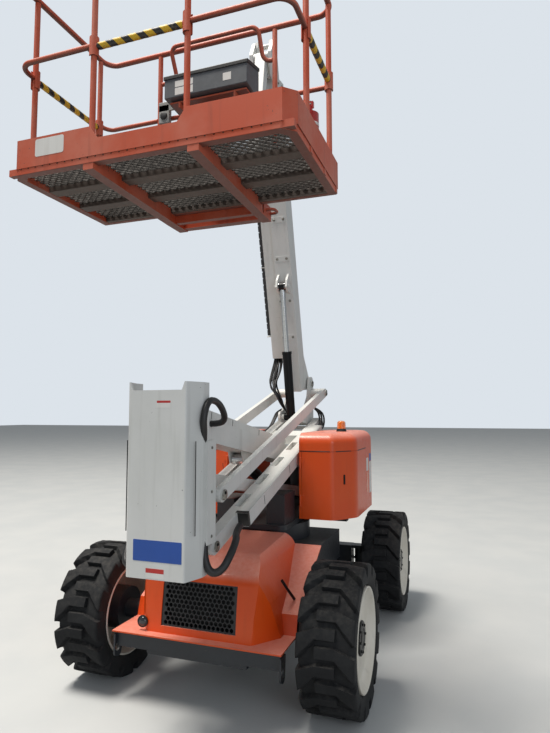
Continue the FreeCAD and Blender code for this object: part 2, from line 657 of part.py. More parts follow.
def bar_outline(first, last, deep, over):
    """A bar between two pins with its ends rounded past them."""
    a = Vector(first[0], first[1], 0)
    b = Vector(last[0], last[1], 0)
    along = (b - a).normalize()
    side = Vector(-along.y, along.x, 0) * (deep / 2)
    bend = deep / 2 * 0.96
    corners = (a - along * over - side, b + along * over - side, b + along * over + side, a - along * over + side)
    return [(c.x, c.y, min(bend, over)) for c in corners]


def pin_hole(name, spot, span, radius="pin + 0.3"):
    return rod(name, "X", (str(spot[0]), str(spot[1])), radius, span)


knee_y = -size.knuckle_y
lower_front = (knee_y, size.boom_pin_high)
lower_back = (size.lower_pin_y, size.lower_pin_z)
link_front = (knee_y, size.boom_pin_high - size.lower_gap)
link_back = (size.lower_pin_y, size.lower_pin_z - size.lower_gap)
arm_front = (knee_y, size.arm_low)
arm_back = (size.tower_y, size.arm_low + size.arm_rise)
top_front = (knee_y, size.arm_low + size.arm_gap)
top_back = (size.tower_y, size.arm_low + size.arm_rise + size.arm_gap)

wide = ("-lower_half", "lower_half")
beam = prism("Lower_boom_beam", "YZ", bar_outline(lower_front, lower_back, size.lower_deep, 62), wide)
fall = math.atan2(lower_front[1] - lower_back[1], lower_back[0] - lower_front[0])
along = Vector(math.cos(fall), -math.sin(fall), 0)
up = Vector(math.sin(fall), math.cos(fall), 0)
start = Vector(lower_front[0], lower_front[1], 0)


def on_lower(run, rise):
    spot = start + along * run + up * rise
    return (spot.x, spot.y)


tray = prism("Lower_tray", "YZ", [on_lower(90, 60), on_lower(1700, 60), on_lower(1700, 128), on_lower(90, 128)],
             ("-58", "58"))
lug_spot = on_lower(840, -116)
lug = prism("Lower_lug", "YZ", [on_lower(750, -60), on_lower(800, -150, ), on_lower(880, -150), on_lower(930, -60)],
            ("-55", "55"))
lug_gap = prism("Lower_lug_gap", "YZ", [on_lower(700, -70.5), on_lower(700, -200), on_lower(980, -200),
                                        on_lower(980, -70.5)], ("-46", "46"))
lug = cut("Lower_lug_cut", lug, [lug_gap])
lug_heads = [rod("Lower_lug_pin_%d" % k, "X", ("%r" % lug_spot[0], "%r" % lug_spot[1]), "20", span)
             for k, span in enumerate(both(("46", "57")))]
holes = [pin_hole("Lower_hole_%d" % k, spot, ("-120", "120")) for k, spot in enumerate((lower_front, lower_back))]
node("lower_boom", cut("Lower_boom", fuse("Lower_boom_parts", [beam, tray, lug] + lug_heads), holes))

bars = [prism("Lower_link_%d" % k, "YZ", bar_outline(link_front, link_back, 84, 42), span)
        for k, span in enumerate(both(("62", "86")))]
holes = [pin_hole("Link_hole_%d" % k, spot, ("-120", "120")) for k, spot in enumerate((link_front, link_back))]
node("lower_link", cut("Lower_link", fuse("Lower_link_parts", bars), holes))

front = -size.knuckle_front
knee = prism("Knuckle_channel", "XY", [
    (-size.knuckle_half, front, 12), (size.knuckle_half, front, 12), (size.knuckle_half + 42, front + 120, 12),
    (size.knuckle_half + 42, front + 190), (size.knuckle_half + 34, front + 190),
    (size.knuckle_half + 34, front + 122, 8), (size.knuckle_half - 5, front + 8, 6),
    (-size.knuckle_half + 5, front + 8, 6), (-size.knuckle_half - 34, front + 122, 8),
    (-size.knuckle_half - 34, front + 190), (-size.knuckle_half - 42, front + 190),
    (-size.knuckle_half - 42, front + 120, 12)], ("knuckle_low", "knuckle_top"))
notch = prism("Knuckle_notch", "XZ", [(-150, size.knuckle_top - 45), (150, size.knuckle_top - 45),
                                      (175, size.knuckle_top + 20), (-175, size.knuckle_top + 20)],
              ("-knuckle_front - 20", "-knuckle_front + 60"))
cheek = [(front + 4, 930), (front + 90, 930), (knee_y + 60, 965, 60), (knee_y + 62, 1330, 60), (knee_y - 20, 1420),
         (knee_y - 20, 1500), (knee_y + 66, 1610, 40), (knee_y + 66, 1752, 60), (knee_y - 40, 1790), (front + 4, 1880)]
knee_parts = [cut("Knuckle_notched", knee, [notch])]
for k, span in enumerate(both(("lower_half + 8", "lower_half + 22"))):
    knee_parts.append(prism("Knuckle_cheek_%d" % k, "YZ", cheek, span))
for k, span in enumerate(both(("lower_half + 21", "arm_out + 14"))):
    knee_parts.append(rod("Knuckle_arm_pin_%d" % k, "X", (str(knee_y), str(arm_front[1])), "pin", span))
for k, span in enumerate(both(("lower_half + 21", "link_out + 14"))):
    knee_parts.append(rod("Knuckle_link_pin_%d" % k, "X", (str(knee_y), str(top_front[1])), "pin", span))
for k, span in enumerate(both(("lower_half + 21", "link_in - 0.5"))):
    knee_parts.append(rod("Knuckle_boss_%d" % k, "X", (str(knee_y), str(top_front[1])), "42", span))
for k, span in enumerate(both(("lower_half + 21", "arm_in - 0.5"))):
    knee_parts.append(rod("Knuckle_arm_boss_%d" % k, "X", (str(knee_y), str(arm_front[1])), "44", span))
for k, high in enumerate((lower_front[1], link_front[1])):
    knee_parts.append(rod("Knuckle_middle_pin_%d" % k, "X", (str(knee_y), str(high)), "pin",
                          ("-lower_half - 21", "lower_half + 21")))
for k, span in enumerate(both(("knuckle_half + 12", "knuckle_half + 56"))):
    knee_parts.append(block("Hose_cover_%d" % k, span, ("-knuckle_front + 150", "-knuckle_front + 252"),
                            ("1060", "1620")))
node("knuckle", fuse("Knuckle", knee_parts))

lean = math.atan2(size.arm_rise, arm_back[0] - arm_front[0])
arm_along = Vector(math.cos(lean), math.sin(lean), 0)
arm_up = Vector(-math.sin(lean), math.cos(lean), 0)


def on_arm(run, rise):
    spot = Vector(arm_front[0], arm_front[1], 0) + arm_along * run + arm_up * rise
    return (spot.x, spot.y)


arm_parts = [prism("Arm_%d" % k, "YZ", bar_outline(arm_front, arm_back, size.arm_deep, 50), span)
             for k, span in enumerate(both(("arm_in", "arm_out")))]
arm_parts.append(prism("Arm_tray", "YZ", [on_arm(330, -40), on_arm(2180, -40), on_arm(2180, 52), on_arm(330, 52)],
                       ("arm_out - 1", "tray_out")))
arm_parts.append(prism("Arm_tie", "YZ", [on_arm(1900, -40), on_arm(2040, -40), on_arm(2040, 40), on_arm(1900, 40)],
                       ("-arm_in - 1", "arm_in + 1")))
holes = [pin_hole("Arm_hole_%d" % k, spot, ("-300", "300")) for k, spot in enumerate((arm_front, arm_back))]
windows = [prism("Arm_window_%d" % k, "YZ", [on_arm(run, 10), on_arm(run + 190, 10), on_arm(run + 190, 80),
                                             on_arm(run, 80)], ("arm_in + 12", "arm_out - 12"))
           for k, run in enumerate((420, 780, 1140, 1500))]
node("upper_arms", cut("Upper_arms", fuse("Upper_arm_parts", arm_parts), holes + windows))

bars = [prism("Upper_link_%d" % k, "YZ", bar_outline(top_front, top_back, size.link_deep, 44), span)
        for k, span in enumerate(both(("link_in", "link_out")))]
holes = [pin_hole("Upper_hole_%d" % k, spot, ("-300", "300")) for k, spot in enumerate((top_front, top_back))]
node("upper_links", cut("Upper_links", fuse("Upper_link_parts", bars), holes))

foot = (size.boom_pin_y, size.boom_pin_z)
ram = (size.ram_y, size.ram_z)
cheek = [(arm_back[0] - 60, arm_back[1] - 60, 30), (arm_back[0] + 62, arm_back[1] - 60, 40),
         (foot[0] + 66, foot[1] + 66, 60), (foot[0] - 66, foot[1] + 66, 60), (foot[0] - 120, foot[1] - 130, 60),
         (ram[0] + 40, ram[1] + 52, 60), (ram[0] - 50, ram[1] + 48, 44), (ram[0] - 50, ram[1] - 48, 44),
         (ram[0] + 120, ram[1] - 60, 60)]
tower_parts = []
for k, span in enumerate(both(("boom_half + 16", "boom_half + 34"))):
    tower_parts.append(prism("Tower_cheek_%d" % k, "YZ", cheek, span))
for k, span in enumerate(both(("boom_half + 33", "link_out + 14"))):
    tower_parts.append(rod("Tower_link_pin_%d" % k, "X", (str(top_back[0]), str(top_back[1])), "pin", span))
for k, span in enumerate(both(("boom_half + 33", "link_in - 0.5"))):
    tower_parts.append(rod("Tower_boss_%d" % k, "X", (str(top_back[0]), str(top_back[1])), "42", span))
for k, span in enumerate(both(("boom_half + 33", "arm_in - 0.5"))):
    tower_parts.append(rod("Tower_arm_boss_%d" % k, "X", (str(arm_back[0]), str(arm_back[1])), "44", span))
tower_parts += [
    rod("Tower_arm_pin", "X", (str(arm_back[0]), str(arm_back[1])), "pin", ("-arm_out - 14", "arm_out + 14")),
    rod("Tower_foot_pin", "X", ("boom_pin_y", "boom_pin_z"), "pin", ("-boom_half - 48", "boom_half + 48")),
    rod("Tower_ram_pin", "X", ("ram_y", "ram_z"), "22", ("-boom_half - 40", "boom_half + 40")),
    block("Tower_floor", ("-boom_half - 17", "boom_half + 17"), ("%g" % (arm_back[0] - 50), "%g" % (arm_back[0] + 50)),
          ("%g" % (arm_back[1] - 60), "%g" % (arm_back[1] - 30))),
]
node("tower", fuse("Tower", tower_parts))


# Cylinders: a barrel on its foot pin, a rod that slides in it and ends in an eye


def cylinder_pieces(name, first, last, radius, rod_radius, barrel_long, inside, eye, pin_radius, foot_half, eye_half):
    """Barrel and rod between two pins in the YZ plane. inside is how far the rod stands from the foot pin."""
    a = Vector(0, first[0], first[1])
    b = Vector(0, last[0], last[1])
    way = (b - a).normalize()
    foot_eye = Part.makeCylinder(eye, 2 * foot_half, a - Vector(foot_half, 0, 0), Vector(1, 0, 0))
    body = Part.makeCylinder(radius, barrel_long - eye * 0.6, a + way * eye * 0.6, way)
    gland = Part.makeCylinder(radius + 4, 26, a + way * (barrel_long - 26), way)
    bore = Part.makeCylinder(rod_radius + 0.3, barrel_long - eye - 20, a + way * (eye + 20), way)
    hole = Part.makeCylinder(pin_radius + 0.3, 4 * foot_half, a - Vector(2 * foot_half, 0, 0), Vector(1, 0, 0))
    barrel = body.fuse([foot_eye, gland]).cut([bore, hole]).removeSplitter()
    reach = (b - a).Length
    stem = Part.makeCylinder(rod_radius, reach - eye * 0.5 - inside, a + way * inside, way)
    end = Part.makeCylinder(eye, 2 * eye_half, b - Vector(eye_half, 0, 0), Vector(1, 0, 0))
    piston = stem.fuse(end).removeSplitter()
    node(name + "_barrel", shaped(name.capitalize() + "_barrel", barrel))
    node(name + "_rod", shaped(name.capitalize() + "_rod", piston))


cylinder_pieces("riser_cylinder", (350, 1020), lug_spot, 42, 26, 930, 100, 40, 20, 44.5, 43)

# Main boom, drawn upright about its foot pin and then leaned forward

boom_turn = Rotation(Vector(1, 0, 0), 90 - size.boom_angle)
boom_spot = Vector(0, size.boom_pin_y, size.boom_pin_z)


def leaned(shape):
    shape.Placement = Placement(boom_spot, boom_turn).multiply(shape.Placement)
    return shape


def slab(x0, x1, y0, y1, z0, z1):
    return Part.makeBox(x1 - x0, y1 - y0, z1 - z0, Vector(x0, y0, z0))


face = -size.boom_drop
back = face + size.boom_deep
half = size.boom_half
wall = size.boom_wall
outer = slab(-half, half, face, back, -20, size.boom_long)
outer = outer.cut(slab(-half + wall, half - wall, face + wall, back - wall, 60, size.boom_long + 1))
heel_points = [Vector(-half, y, z) for y, z in ((face + 60, -20), (-30, -50), (50, -20), (50, 40), (back - 4, 300),
                                                (face + 60, 300))]
heel = Part.Face(Part.makePolygon(heel_points + heel_points[:1])).extrude(Vector(2 * half, 0, 0))
heel = heel.cut(slab(-half + 14, half - 14, back, 200, -100, 400))
eye = Part.makeCylinder(50, 2 * half + 30, Vector(-half - 15, 0, 0), Vector(1, 0, 0))
collar = slab(-half - 12, half + 12, face - 12, back + 12, size.boom_long - 120, size.boom_long - 20)
collar = collar.cut(slab(-half + 1, half - 1, face + 1, back - 1, 0, size.boom_long))
ram_eye = Vector(0, 348, 2908)
local = Placement(boom_spot, boom_turn).inverse().multVec(ram_eye)
ears = []
for side in (-1, 1):
    x = side * 46 - 9
    points = [Vector(x, y, z) for y, z in ((face + 2, local.z - 70), (local.y - 10, local.z - 40),
                                           (local.y - 38, local.z), (local.y - 10, local.z + 60),
                                           (face + 2, local.z + 110))]
    ears.append(Part.Face(Part.makePolygon(points + points[:1])).extrude(Vector(18, 0, 0)))
    ears.append(Part.makeCylinder(18, 20, Vector(x + 4 + side * 9 - 5, local.y, local.z), Vector(1, 0, 0)))
hose_tube = slab(-half - 104, -half - 4, face + 24, face + 134, 300, size.boom_long - 60)
hose_tube = hose_tube.cut(slab(-half - 99, -half - 9, face + 29, face + 129, 295, size.boom_long - 50))
pads = slab(-half + wall, half - wall, face + wall, back - wall, size.boom_long - 90, size.boom_long)
pads = pads.cut(slab(-half + wall + 7.6, half - wall - 7.6, face + wall + 7.6, back - wall - 7.6,
                     size.boom_long - 100, size.boom_long + 10))
brackets = [slab(-half - 6, -half + 2, face + 44, face + 104, z, z + 60) for z in (420, 1150, 1900, 2560)]
hole = Part.makeCylinder(size.pin + 0.3, 400, Vector(-200, 0, 0), Vector(1, 0, 0))
boom = outer.fuse([heel, eye, collar, hose_tube, pads] + ears + brackets).cut(hole).removeSplitter()
node("main_boom", shaped("Main_boom", leaned(boom)))

chain_low, chain_high = 520, size.boom_long - 200
chain_edge = -half - 142
profile = [Vector(-half - 104.3, face + 44, chain_high), Vector(-half - 104.3, face + 44, chain_low)]
for k in range(int((chain_high - chain_low) / size.chain_pitch)):
    foot = chain_low + k * size.chain_pitch
    top = foot + size.chain_pitch - size.chain_gap
    profile += [Vector(x, face + 44, z) for x, z in ((chain_edge, foot), (chain_edge, top), (chain_edge + 8, top),
                                                     (chain_edge + 8, foot + size.chain_pitch))]
profile.append(Vector(chain_edge + 8, face + 44, chain_high))
chain = Part.Face(Part.makePolygon(profile + profile[:1])).extrude(Vector(0, 60, 0))
node("energy_chain", shaped("Energy_chain", leaned(chain)))

jib_pin = Vector(0, size.nose_y, size.nose_z)
nose = Placement(boom_spot, boom_turn).inverse().multVec(jib_pin)
fly = slab(-half + wall + 8, half - wall - 8, face + wall + 8, back - wall - 8, 420, nose.z - 80)
fly = fly.cut(slab(-half + 2 * wall + 8, half - 2 * wall - 8, face + 2 * wall + 8, back - 2 * wall - 8,
                   400, nose.z - 90))
plates = []
for x in (-half + wall + 8, half - wall - 8 - 14):
    points = [Vector(x, y, z) for y, z in ((face + wall + 8, nose.z - 240), (nose.y - 48, nose.z - 10),
                                           (nose.y - 30, nose.z + 42), (nose.y + 34, nose.z + 42),
                                           (back - wall - 8, nose.z - 60), (back - wall - 8, nose.z - 240))]
    plates.append(Part.Face(Part.makePolygon(points + points[:1])).extrude(Vector(14, 0, 0)))
nose_pin = Part.makeCylinder(20, 204, nose - Vector(102, 0, 0), Vector(1, 0, 0))
fly = fly.fuse(plates + [nose_pin]).removeSplitter()
node("fly_boom", shaped("Fly_boom", leaned(fly)))
cylinder_pieces("boom_cylinder", ram, (348, 2908), 41, 24, 608, 575, 36, 22, 60, 30)

# Jib: levelled head, arm, its cylinder, and the end bracket with the rotator

jib_root = (size.nose_y - 70, size.nose_z - 140)


def from_root(angle, run):
    """A point at a distance from the jib's root pin, at an angle below the horizon."""
    return (jib_root[0] - run * math.cos(math.radians(angle)), jib_root[1] - run * math.sin(math.radians(angle)))


jib_tip = from_root(size.jib_angle, size.jib_long)
ram_foot = from_root(size.jib_angle + 30, 150)
ram_head = from_root(size.jib_angle + 9.5, 550)
head = [(size.nose_y + 38, size.nose_z + 34, 30), (size.nose_y - 40, size.nose_z + 34, 30),
        (jib_root[0] - 44, jib_root[1] + 20, 30), (jib_root[0] - 30, jib_root[1] - 44, 30),
        (ram_foot[0] - 20, ram_foot[1] - 34, 20), (ram_foot[0] + 32, ram_foot[1] - 30, 24),
        (size.nose_y + 44, size.nose_z - 60, 30)]
head_parts = []
for k, span in enumerate(both(("68", "98"))):
    head_parts.append(prism("Head_cheek_%d" % k, "YZ", head, span))
head_parts += [
    rod("Head_root_pin", "X", ("%r" % jib_root[0], "%r" % jib_root[1]), "18", ("-98", "98")),
    rod("Head_ram_pin", "X", ("%r" % ram_foot[0], "%r" % ram_foot[1]), "14", ("-98", "98")),
]
node("jib_head", cut("Jib_head", fuse("Jib_head_parts", head_parts),
                     [rod("Head_bore", "X", ("nose_y", "nose_z"), "20.3", ("-110", "110"))]))
arm_parts = [
    prism("Jib_beam", "YZ", bar_outline(jib_root, jib_tip, 80, 40), ("-44", "44")),
]
ears = [from_root(size.jib_angle + 4, 480), from_root(size.jib_angle + 11.5, 520), from_root(size.jib_angle + 12.5, 560),
        from_root(size.jib_angle + 10.5, 600), from_root(size.jib_angle + 3, 640)]
for k, span in enumerate(both(("32", "44"))):
    arm_parts.append(prism("Jib_ear_%d" % k, "YZ", ears, span))
for k, span in enumerate(both(("32", "52"))):
    arm_parts.append(rod("Jib_ear_pin_%d" % k, "X", ("%r" % ram_head[0], "%r" % ram_head[1]), "14", span))
for k, span in enumerate(both(("43", "66"))):
    arm_parts.append(rod("Jib_root_boss_%d" % k, "X", ("%r" % jib_root[0], "%r" % jib_root[1]), "38", span))
holes = [pin_hole("Jib_hole_%d" % k, spot, ("-120", "120"), "18.3") for k, spot in enumerate((jib_root, jib_tip))]
node("jib_arm", cut("Jib_arm", fuse("Jib_arm_parts", arm_parts), holes))
cylinder_pieces("jib_cylinder", ram_foot, ram_head, 27, 16, 372, 84, 24, 14, 30, 26)

turn = -size.turn_y
bracket = [(jib_tip[0] + 40, jib_tip[1] + 40, 30), (turn + 170, jib_tip[1] + 40), (turn + 90, 3550),
           (turn - 20, 3550), (turn - 20, jib_tip[1] - 60),
           (jib_tip[0] - 60, jib_tip[1] - 70), (jib_tip[0] + 40, jib_tip[1] - 40, 30)]
bracket_parts = [prism("Bracket_cheek_%d" % k, "YZ", bracket, span) for k, span in enumerate(both(("48", "60")))]
bracket_parts += [
    block("Bracket_box", ("-49", "49"), (str(turn - 10), str(turn + 170)), ("3450", "3550")),
    rod("Bracket_pin", "X", ("%r" % jib_tip[0], "%r" % jib_tip[1]), "18", ("-60", "60")),
    rod("Rotator", "Z", ("0", "-turn_y"), "84", ("3235", "3555")),
]
node("jib_bracket", fuse("Jib_bracket", bracket_parts))

# Platform: mount, floor frame, floor, toe boards, rails, console, drop bars

cage_mid = -(size.cage_front + size.cage_back) / 2
floor = size.cage_low
mount_parts = [
    block("Mount_low", ("-60", "60"), ("-cage_back - 2", "-turn_y + 60"), ("3200", "3234.7")),
    block("Mount_high", ("-60", "60"), ("-cage_back - 2", "-turn_y + 60"), ("3555.3", "3590")),
    block("Mount_post", ("-110", "110"), ("-cage_back", "-cage_back + 40"), ("3060", "3900")),
    rod("Mount_stub_low", "Z", ("0", "-turn_y"), "40", ("3190", "3234.7")),
    rod("Mount_stub_high", "Z", ("0", "-turn_y"), "40", ("3555.3", "3600")),
]
# Beams, cross bars and the post are tubes: what is cut out of each at the end opens at its rear, side or top.
wall = 6
hollows = [block("Post_room", ("-102", "102"), ("-cage_back + 8", "-cage_back + 32"), ("cage_low + 8", "3910"))]
for k, x in enumerate((-310, 320)):
    mount_parts.append(prism("Beam_%d" % k, "YZ", [(-size.cage_front + 6, floor - 75), (-size.cage_front + 6, floor),
                                                   (-915, floor), (-915, floor - 95), (-1090, floor - 95)],
                             (str(x - 32), str(x + 32))))
    room = [(-size.cage_front + 6 + wall, floor - 75 + wall), (-size.cage_front + 6 + wall, floor - wall),
            (-905, floor - wall), (-905, floor - 95 + wall), (-1090, floor - 95 + wall)]
    hollows.append(prism("Beam_room_%d" % k, "YZ", room, (str(x - 32 + wall), str(x + 32 - wall))))
mount_parts.append(block("Cross_tube", ("-310", "320"), ("-975", "-915"), (str(floor - 90), str(floor - 30))))
hollows.append(block("Cross_room", ("-300", "310"), ("-969", "-921"), (str(floor - 84), str(floor - 36))))
for k, y in enumerate((-1955, -1675, -1395, -1115)):
    rib = block("Rib_%d" % k, ("-cage_half + 2", "cage_half - 2"), (str(y - 18), str(y + 18)),
                (str(floor - 38), str(floor)))
    trough = block("Rib_trough_%d" % k, ("-cage_half + 8", "cage_half - 8"), (str(y - 14), str(y + 14)),
                   (str(floor - 34), str(floor + 5)))
    mount_parts.append(cut("Rib_channel_%d" % k, rib, [trough]))
mount_parts.append(block("Cross_rear", ("-342", "352"), ("-1088", "-1048"), (str(floor - 90), str(floor))))
hollows.append(block("Rear_room", ("-360", "370"), ("-1082", "-1054"), (str(floor - 84), str(floor - 6))))
toe = [(-size.cage_half, -size.cage_back), (-size.cage_half, -size.cage_front + 60),
       (-size.cage_half + 60, -size.cage_front), (size.cage_half - 60, -size.cage_front),
       (size.cage_half, -size.cage_front + 60), (size.cage_half, -size.cage_back)]
inner = [(x * (1 - 2 * size.toe_thin / (2 * size.cage_half)), cage_mid + (y - cage_mid) *
          (1 - 2 * size.toe_thin / (size.cage_front - size.cage_back))) for x, y in toe]
board = prism("Toe_outside", "XY", toe, ("cage_low - 6", "cage_low + toe_high"))
board_room = prism("Toe_inside", "XY", inner, ("cage_low - 7", "cage_low + toe_high + 1"))
dip = prism("Toe_dip", "XZ", [(-250, floor + 90), (230, floor + 90), (290, floor + 170), (-310, floor + 170)],
            ("-cage_front - 20", "-cage_front + 20"))
mount_parts.append(cut("Toe_boards", board, [board_room, dip]))
loop = tube([Vector(340, -1010, floor - 45), Vector(405, -1010, floor - 45), Vector(405, -930, floor - 45),
             Vector(340, -930, floor - 45)], 10, 28)
mount_parts.append(shaped("Tie_loop", loop))
node("platform_frame", cut("Platform_frame", fuse("Platform_solid", mount_parts), hollows))
node("platform_floor", prism("Platform_floor", "XY", [(x * 0.985, cage_mid + (y - cage_mid) * 0.975) for x, y in toe],
                             ("cage_low + 0.3", "cage_low + 5")))

rail = size.rail_radius
post_radius = rail - 1.5
inset = size.toe_thin + post_radius + 0.3
reach_x = size.cage_half - inset
reach_front = -size.cage_front + inset
reach_back = -size.cage_back - inset
top_corners = [Vector(x, y, size.rail_top) for x, y in ((-reach_x, reach_back), (-reach_x, reach_front),
                                                        (reach_x, reach_front), (reach_x, reach_back))]
rails = [closed_tube(top_corners, rail, size.rail_bend)]
post_low = floor + 20
posts = {
    "front_left": (-301, reach_front), "front_right": (275, reach_front), "left_front": (-reach_x, -1820),
    "left_rear": (-reach_x, -1210), "right_front": (reach_x, -1700), "right_rear": (reach_x, -1210),
    "rear_left": (-400, reach_back), "rear_right": (450, reach_back),
}
seat = 0.3
for x, y in posts.values():
    rails.append(Part.makeCylinder(post_radius, size.rail_top - rail - seat - post_low, Vector(x, y, post_low)))


def run_between(points, radius, bend):
    """A tube whose two ends stop just short of the posts at its first and last points."""
    points = [Vector(*p) for p in points]
    step = post_radius + seat
    first = points[0] + (points[1] - points[0]).normalize() * step
    last = points[-1] + (points[-2] - points[-1]).normalize() * step
    return tube([first] + points[1:-1] + [last], radius, bend)


def middle(points, high, bend):
    return run_between([(x, y, high) for x, y in points], rail - 3, bend)


rear_high = size.rail_mid + 20
rails.append(middle([posts["left_front"], (-reach_x, reach_front), posts["front_left"]], size.rail_mid,
                    size.rail_bend))
rails.append(middle([posts["front_right"], (reach_x, reach_front), posts["right_front"]], size.rail_mid,
                    size.rail_bend))
rails.append(middle([posts["left_rear"], (-reach_x, reach_back), posts["rear_left"]], rear_high, 65))
rails.append(middle([posts["right_rear"], (reach_x, reach_back), posts["rear_right"]], rear_high, 65))
rails.append(middle([posts["rear_left"], (-90, reach_back)], rear_high, 65))
rails.append(run_between([(-400, reach_back, 4060), (-264, reach_back, 4060), (-264, -1215, 4240), (371, -1215, 4240),
                          (371, reach_back, 4060), (450, reach_back, 4060)], 14, 50))
node("guard_rails", shaped("Guard_rails", Part.makeCompound(rails)))


def drop_bar(name, first, last, high):
    """A bar with a sleeve round the post at each end."""
    a = Vector(first[0], first[1], high)
    b = Vector(last[0], last[1], high)
    way = (b - a).normalize()
    body = Part.makeCylinder(rail - 2, (b - a).Length - 2 * (rail + 2), a + way * (rail + 2), way)
    sleeves = []
    for post, out in ((a, -1), (b, 1)):
        sleeve = Part.makeCylinder(rail + 8, 110, post - Vector(0, 0, 55))
        sleeve = sleeve.cut(Part.makeCylinder(post_radius + 0.6, 130, post - Vector(0, 0, 65)))
        slot = Part.makeBox(40, 2 * (rail - 2), 130, Vector(0, -(rail - 2), -65))
        slot.Placement = Placement(post, Rotation(Vector(1, 0, 0), way * out))
        sleeves.append(sleeve.cut(slot))
    node(name, shaped(name.capitalize(), body.fuse(sleeves).removeSplitter()))


drop_bar("drop_bar_front", posts["front_left"], posts["front_right"], size.rail_mid - 10)
drop_bar("drop_bar_left", posts["left_front"], posts["left_rear"], size.rail_mid - 10)
drop_bar("drop_bar_right", posts["right_front"], posts["right_rear"], size.rail_mid - 10)

console_back = reach_back - rail + 2.7
console_face = [(console_back, 3790), (-1330, 3860, 20), (-1330, 3900, 20), (-1190, 4080, 30), (console_back, 4080)]
console_room = [(console_back - 8, 3780), (-1322, 3845), (-1322, 3897), (-1187, 4072), (console_back - 8, 4072)]
rooms = [prism("Console_room_%d" % k, "YZ", console_room, span)
         for k, span in enumerate((("-236", "45"), ("53", "342")))]
console_parts = [
    cut("Console_shell", prism("Console_case", "YZ", console_face, ("-244", "350")), rooms),
    block("Outlet_box", ("-383.2", "-300"), ("-1160", str(console_back)), ("3750", "3900")),
    block("Outlet_plate", ("-383.2", "-240"), ("-1160", "-1150"), ("3830", "3880")),
]
for k, (x, y) in enumerate(((-150, -1265), (0, -1265), (180, -1265))):
    console_parts.append(rod("Stick_%d" % k, "Z", (str(x), str(y)), "16", ("3940", "4040")))
node("console", fuse("Console", console_parts))
bottle = [
    rod("Bottle", "Z", ("650", "-1010"), "62", ("3320", "3700")),
    rod("Bottle_neck", "Z", ("650", "-1010"), "22", ("3690", "3760")),
    block("Bottle_handle", ("560", "680"), ("-1022", "-998"), ("3745", "3785")),
    block("Bottle_hook", ("620", "680"), ("-cage_back + 0.3", "-1068"), ("3250", "3580")),
]
node("extinguisher", fuse("Extinguisher", bottle))

# Finish: recompute, check every shape, write one file a piece

doc.recompute()
for item in doc.Objects:
    if "Invalid" in item.State or "Error" in item.State:
        raise RuntimeError("%s did not compute: %s" % (item.Name, item.State))
os.makedirs("parts", exist_ok=True)
for name, item in nodes.items():
    shape = item.Shape
    if shape.isNull() or not shape.Solids or not shape.isValid():
        raise RuntimeError("%s has no valid solid" % name)
    shape.exportStep("parts/%s.step" % name)
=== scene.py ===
import math

import bpy
import numpy as np
from mathutils import Euler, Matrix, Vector


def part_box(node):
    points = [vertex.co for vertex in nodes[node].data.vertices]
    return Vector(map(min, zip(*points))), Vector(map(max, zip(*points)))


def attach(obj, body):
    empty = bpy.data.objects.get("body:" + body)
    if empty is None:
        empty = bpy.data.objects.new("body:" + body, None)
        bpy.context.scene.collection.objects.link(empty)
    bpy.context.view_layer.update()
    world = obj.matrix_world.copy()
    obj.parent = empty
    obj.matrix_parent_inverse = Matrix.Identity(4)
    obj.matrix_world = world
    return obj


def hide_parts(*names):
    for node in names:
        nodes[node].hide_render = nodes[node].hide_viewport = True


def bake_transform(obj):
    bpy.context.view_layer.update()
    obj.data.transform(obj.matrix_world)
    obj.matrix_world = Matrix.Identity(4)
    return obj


# Articulating boom lift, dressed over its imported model. Metres, +Z up, -Y toward the platform.

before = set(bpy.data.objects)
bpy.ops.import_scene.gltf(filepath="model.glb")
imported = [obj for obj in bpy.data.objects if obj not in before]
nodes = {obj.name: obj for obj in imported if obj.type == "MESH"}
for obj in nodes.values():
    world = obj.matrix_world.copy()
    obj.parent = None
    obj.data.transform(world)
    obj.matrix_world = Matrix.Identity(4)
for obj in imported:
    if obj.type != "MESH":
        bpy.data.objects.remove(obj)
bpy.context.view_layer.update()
print("frame loaded,", len(nodes), "nodes")


# Camera, light and floor

camera = {
    "place": (1.604, -4.370, 1.776),
    "turn": 19.56,   # degrees to the left of +Y
    "tilt": 4.66,    # degrees above level
    "roll": 0.1,
    "lens": 27.43,   # mm over a 36 mm tall picture
}
eye = bpy.data.objects.new("camera", bpy.data.cameras.new("camera"))
bpy.context.scene.collection.objects.link(eye)
eye.location = camera["place"]
eye.rotation_euler = Euler([math.radians(90 + camera["tilt"]), math.radians(camera["roll"]),
                            math.radians(camera["turn"])])
eye.data.sensor_fit = "VERTICAL"
eye.data.sensor_height = 36
eye.data.lens = camera["lens"]
eye.data.clip_start = 0.05
eye.data.clip_end = 200
bpy.context.scene.camera = eye


def linear(code):
    """A hex sRGB colour as linear RGBA: below 0.04045 divided by 12.92, above it ((c + 0.055) / 1.055) to the 2.4."""
    c = np.array([int(code[k:k + 2], 16) for k in (1, 3, 5)]) / 255
    c = np.where(c <= 0.04045, c / 12.92, ((c + 0.055) / 1.055) ** 2.4)
    return (*[float(v) for v in c], 1.0)


def addNode(tree, kind, links=None, **settings):
    """A shader node with its settings, and each input given as a value or as the socket that feeds it."""
    node = tree.nodes.new("ShaderNode" + kind)
    for name, value in settings.items():
        setattr(node, name, value)
    for socket, value in (links or {}).items():
        if isinstance(value, bpy.types.NodeSocket):
            tree.links.new(value, node.inputs[socket])
        else:
            node.inputs[socket].default_value = value
    return node


def newMaterial(name):
    material = bpy.data.materials.new(name)
    material.use_nodes = True
    tree = material.node_tree
    tree.nodes.clear()
    return material, tree


def finishMaterial(tree, shader, bump=None):
    if bump is not None:
        tree.links.new(bump, shader.inputs["Normal"])
    out = tree.nodes.new("ShaderNodeOutputMaterial")
    tree.links.new(shader.outputs[0], out.inputs["Surface"])


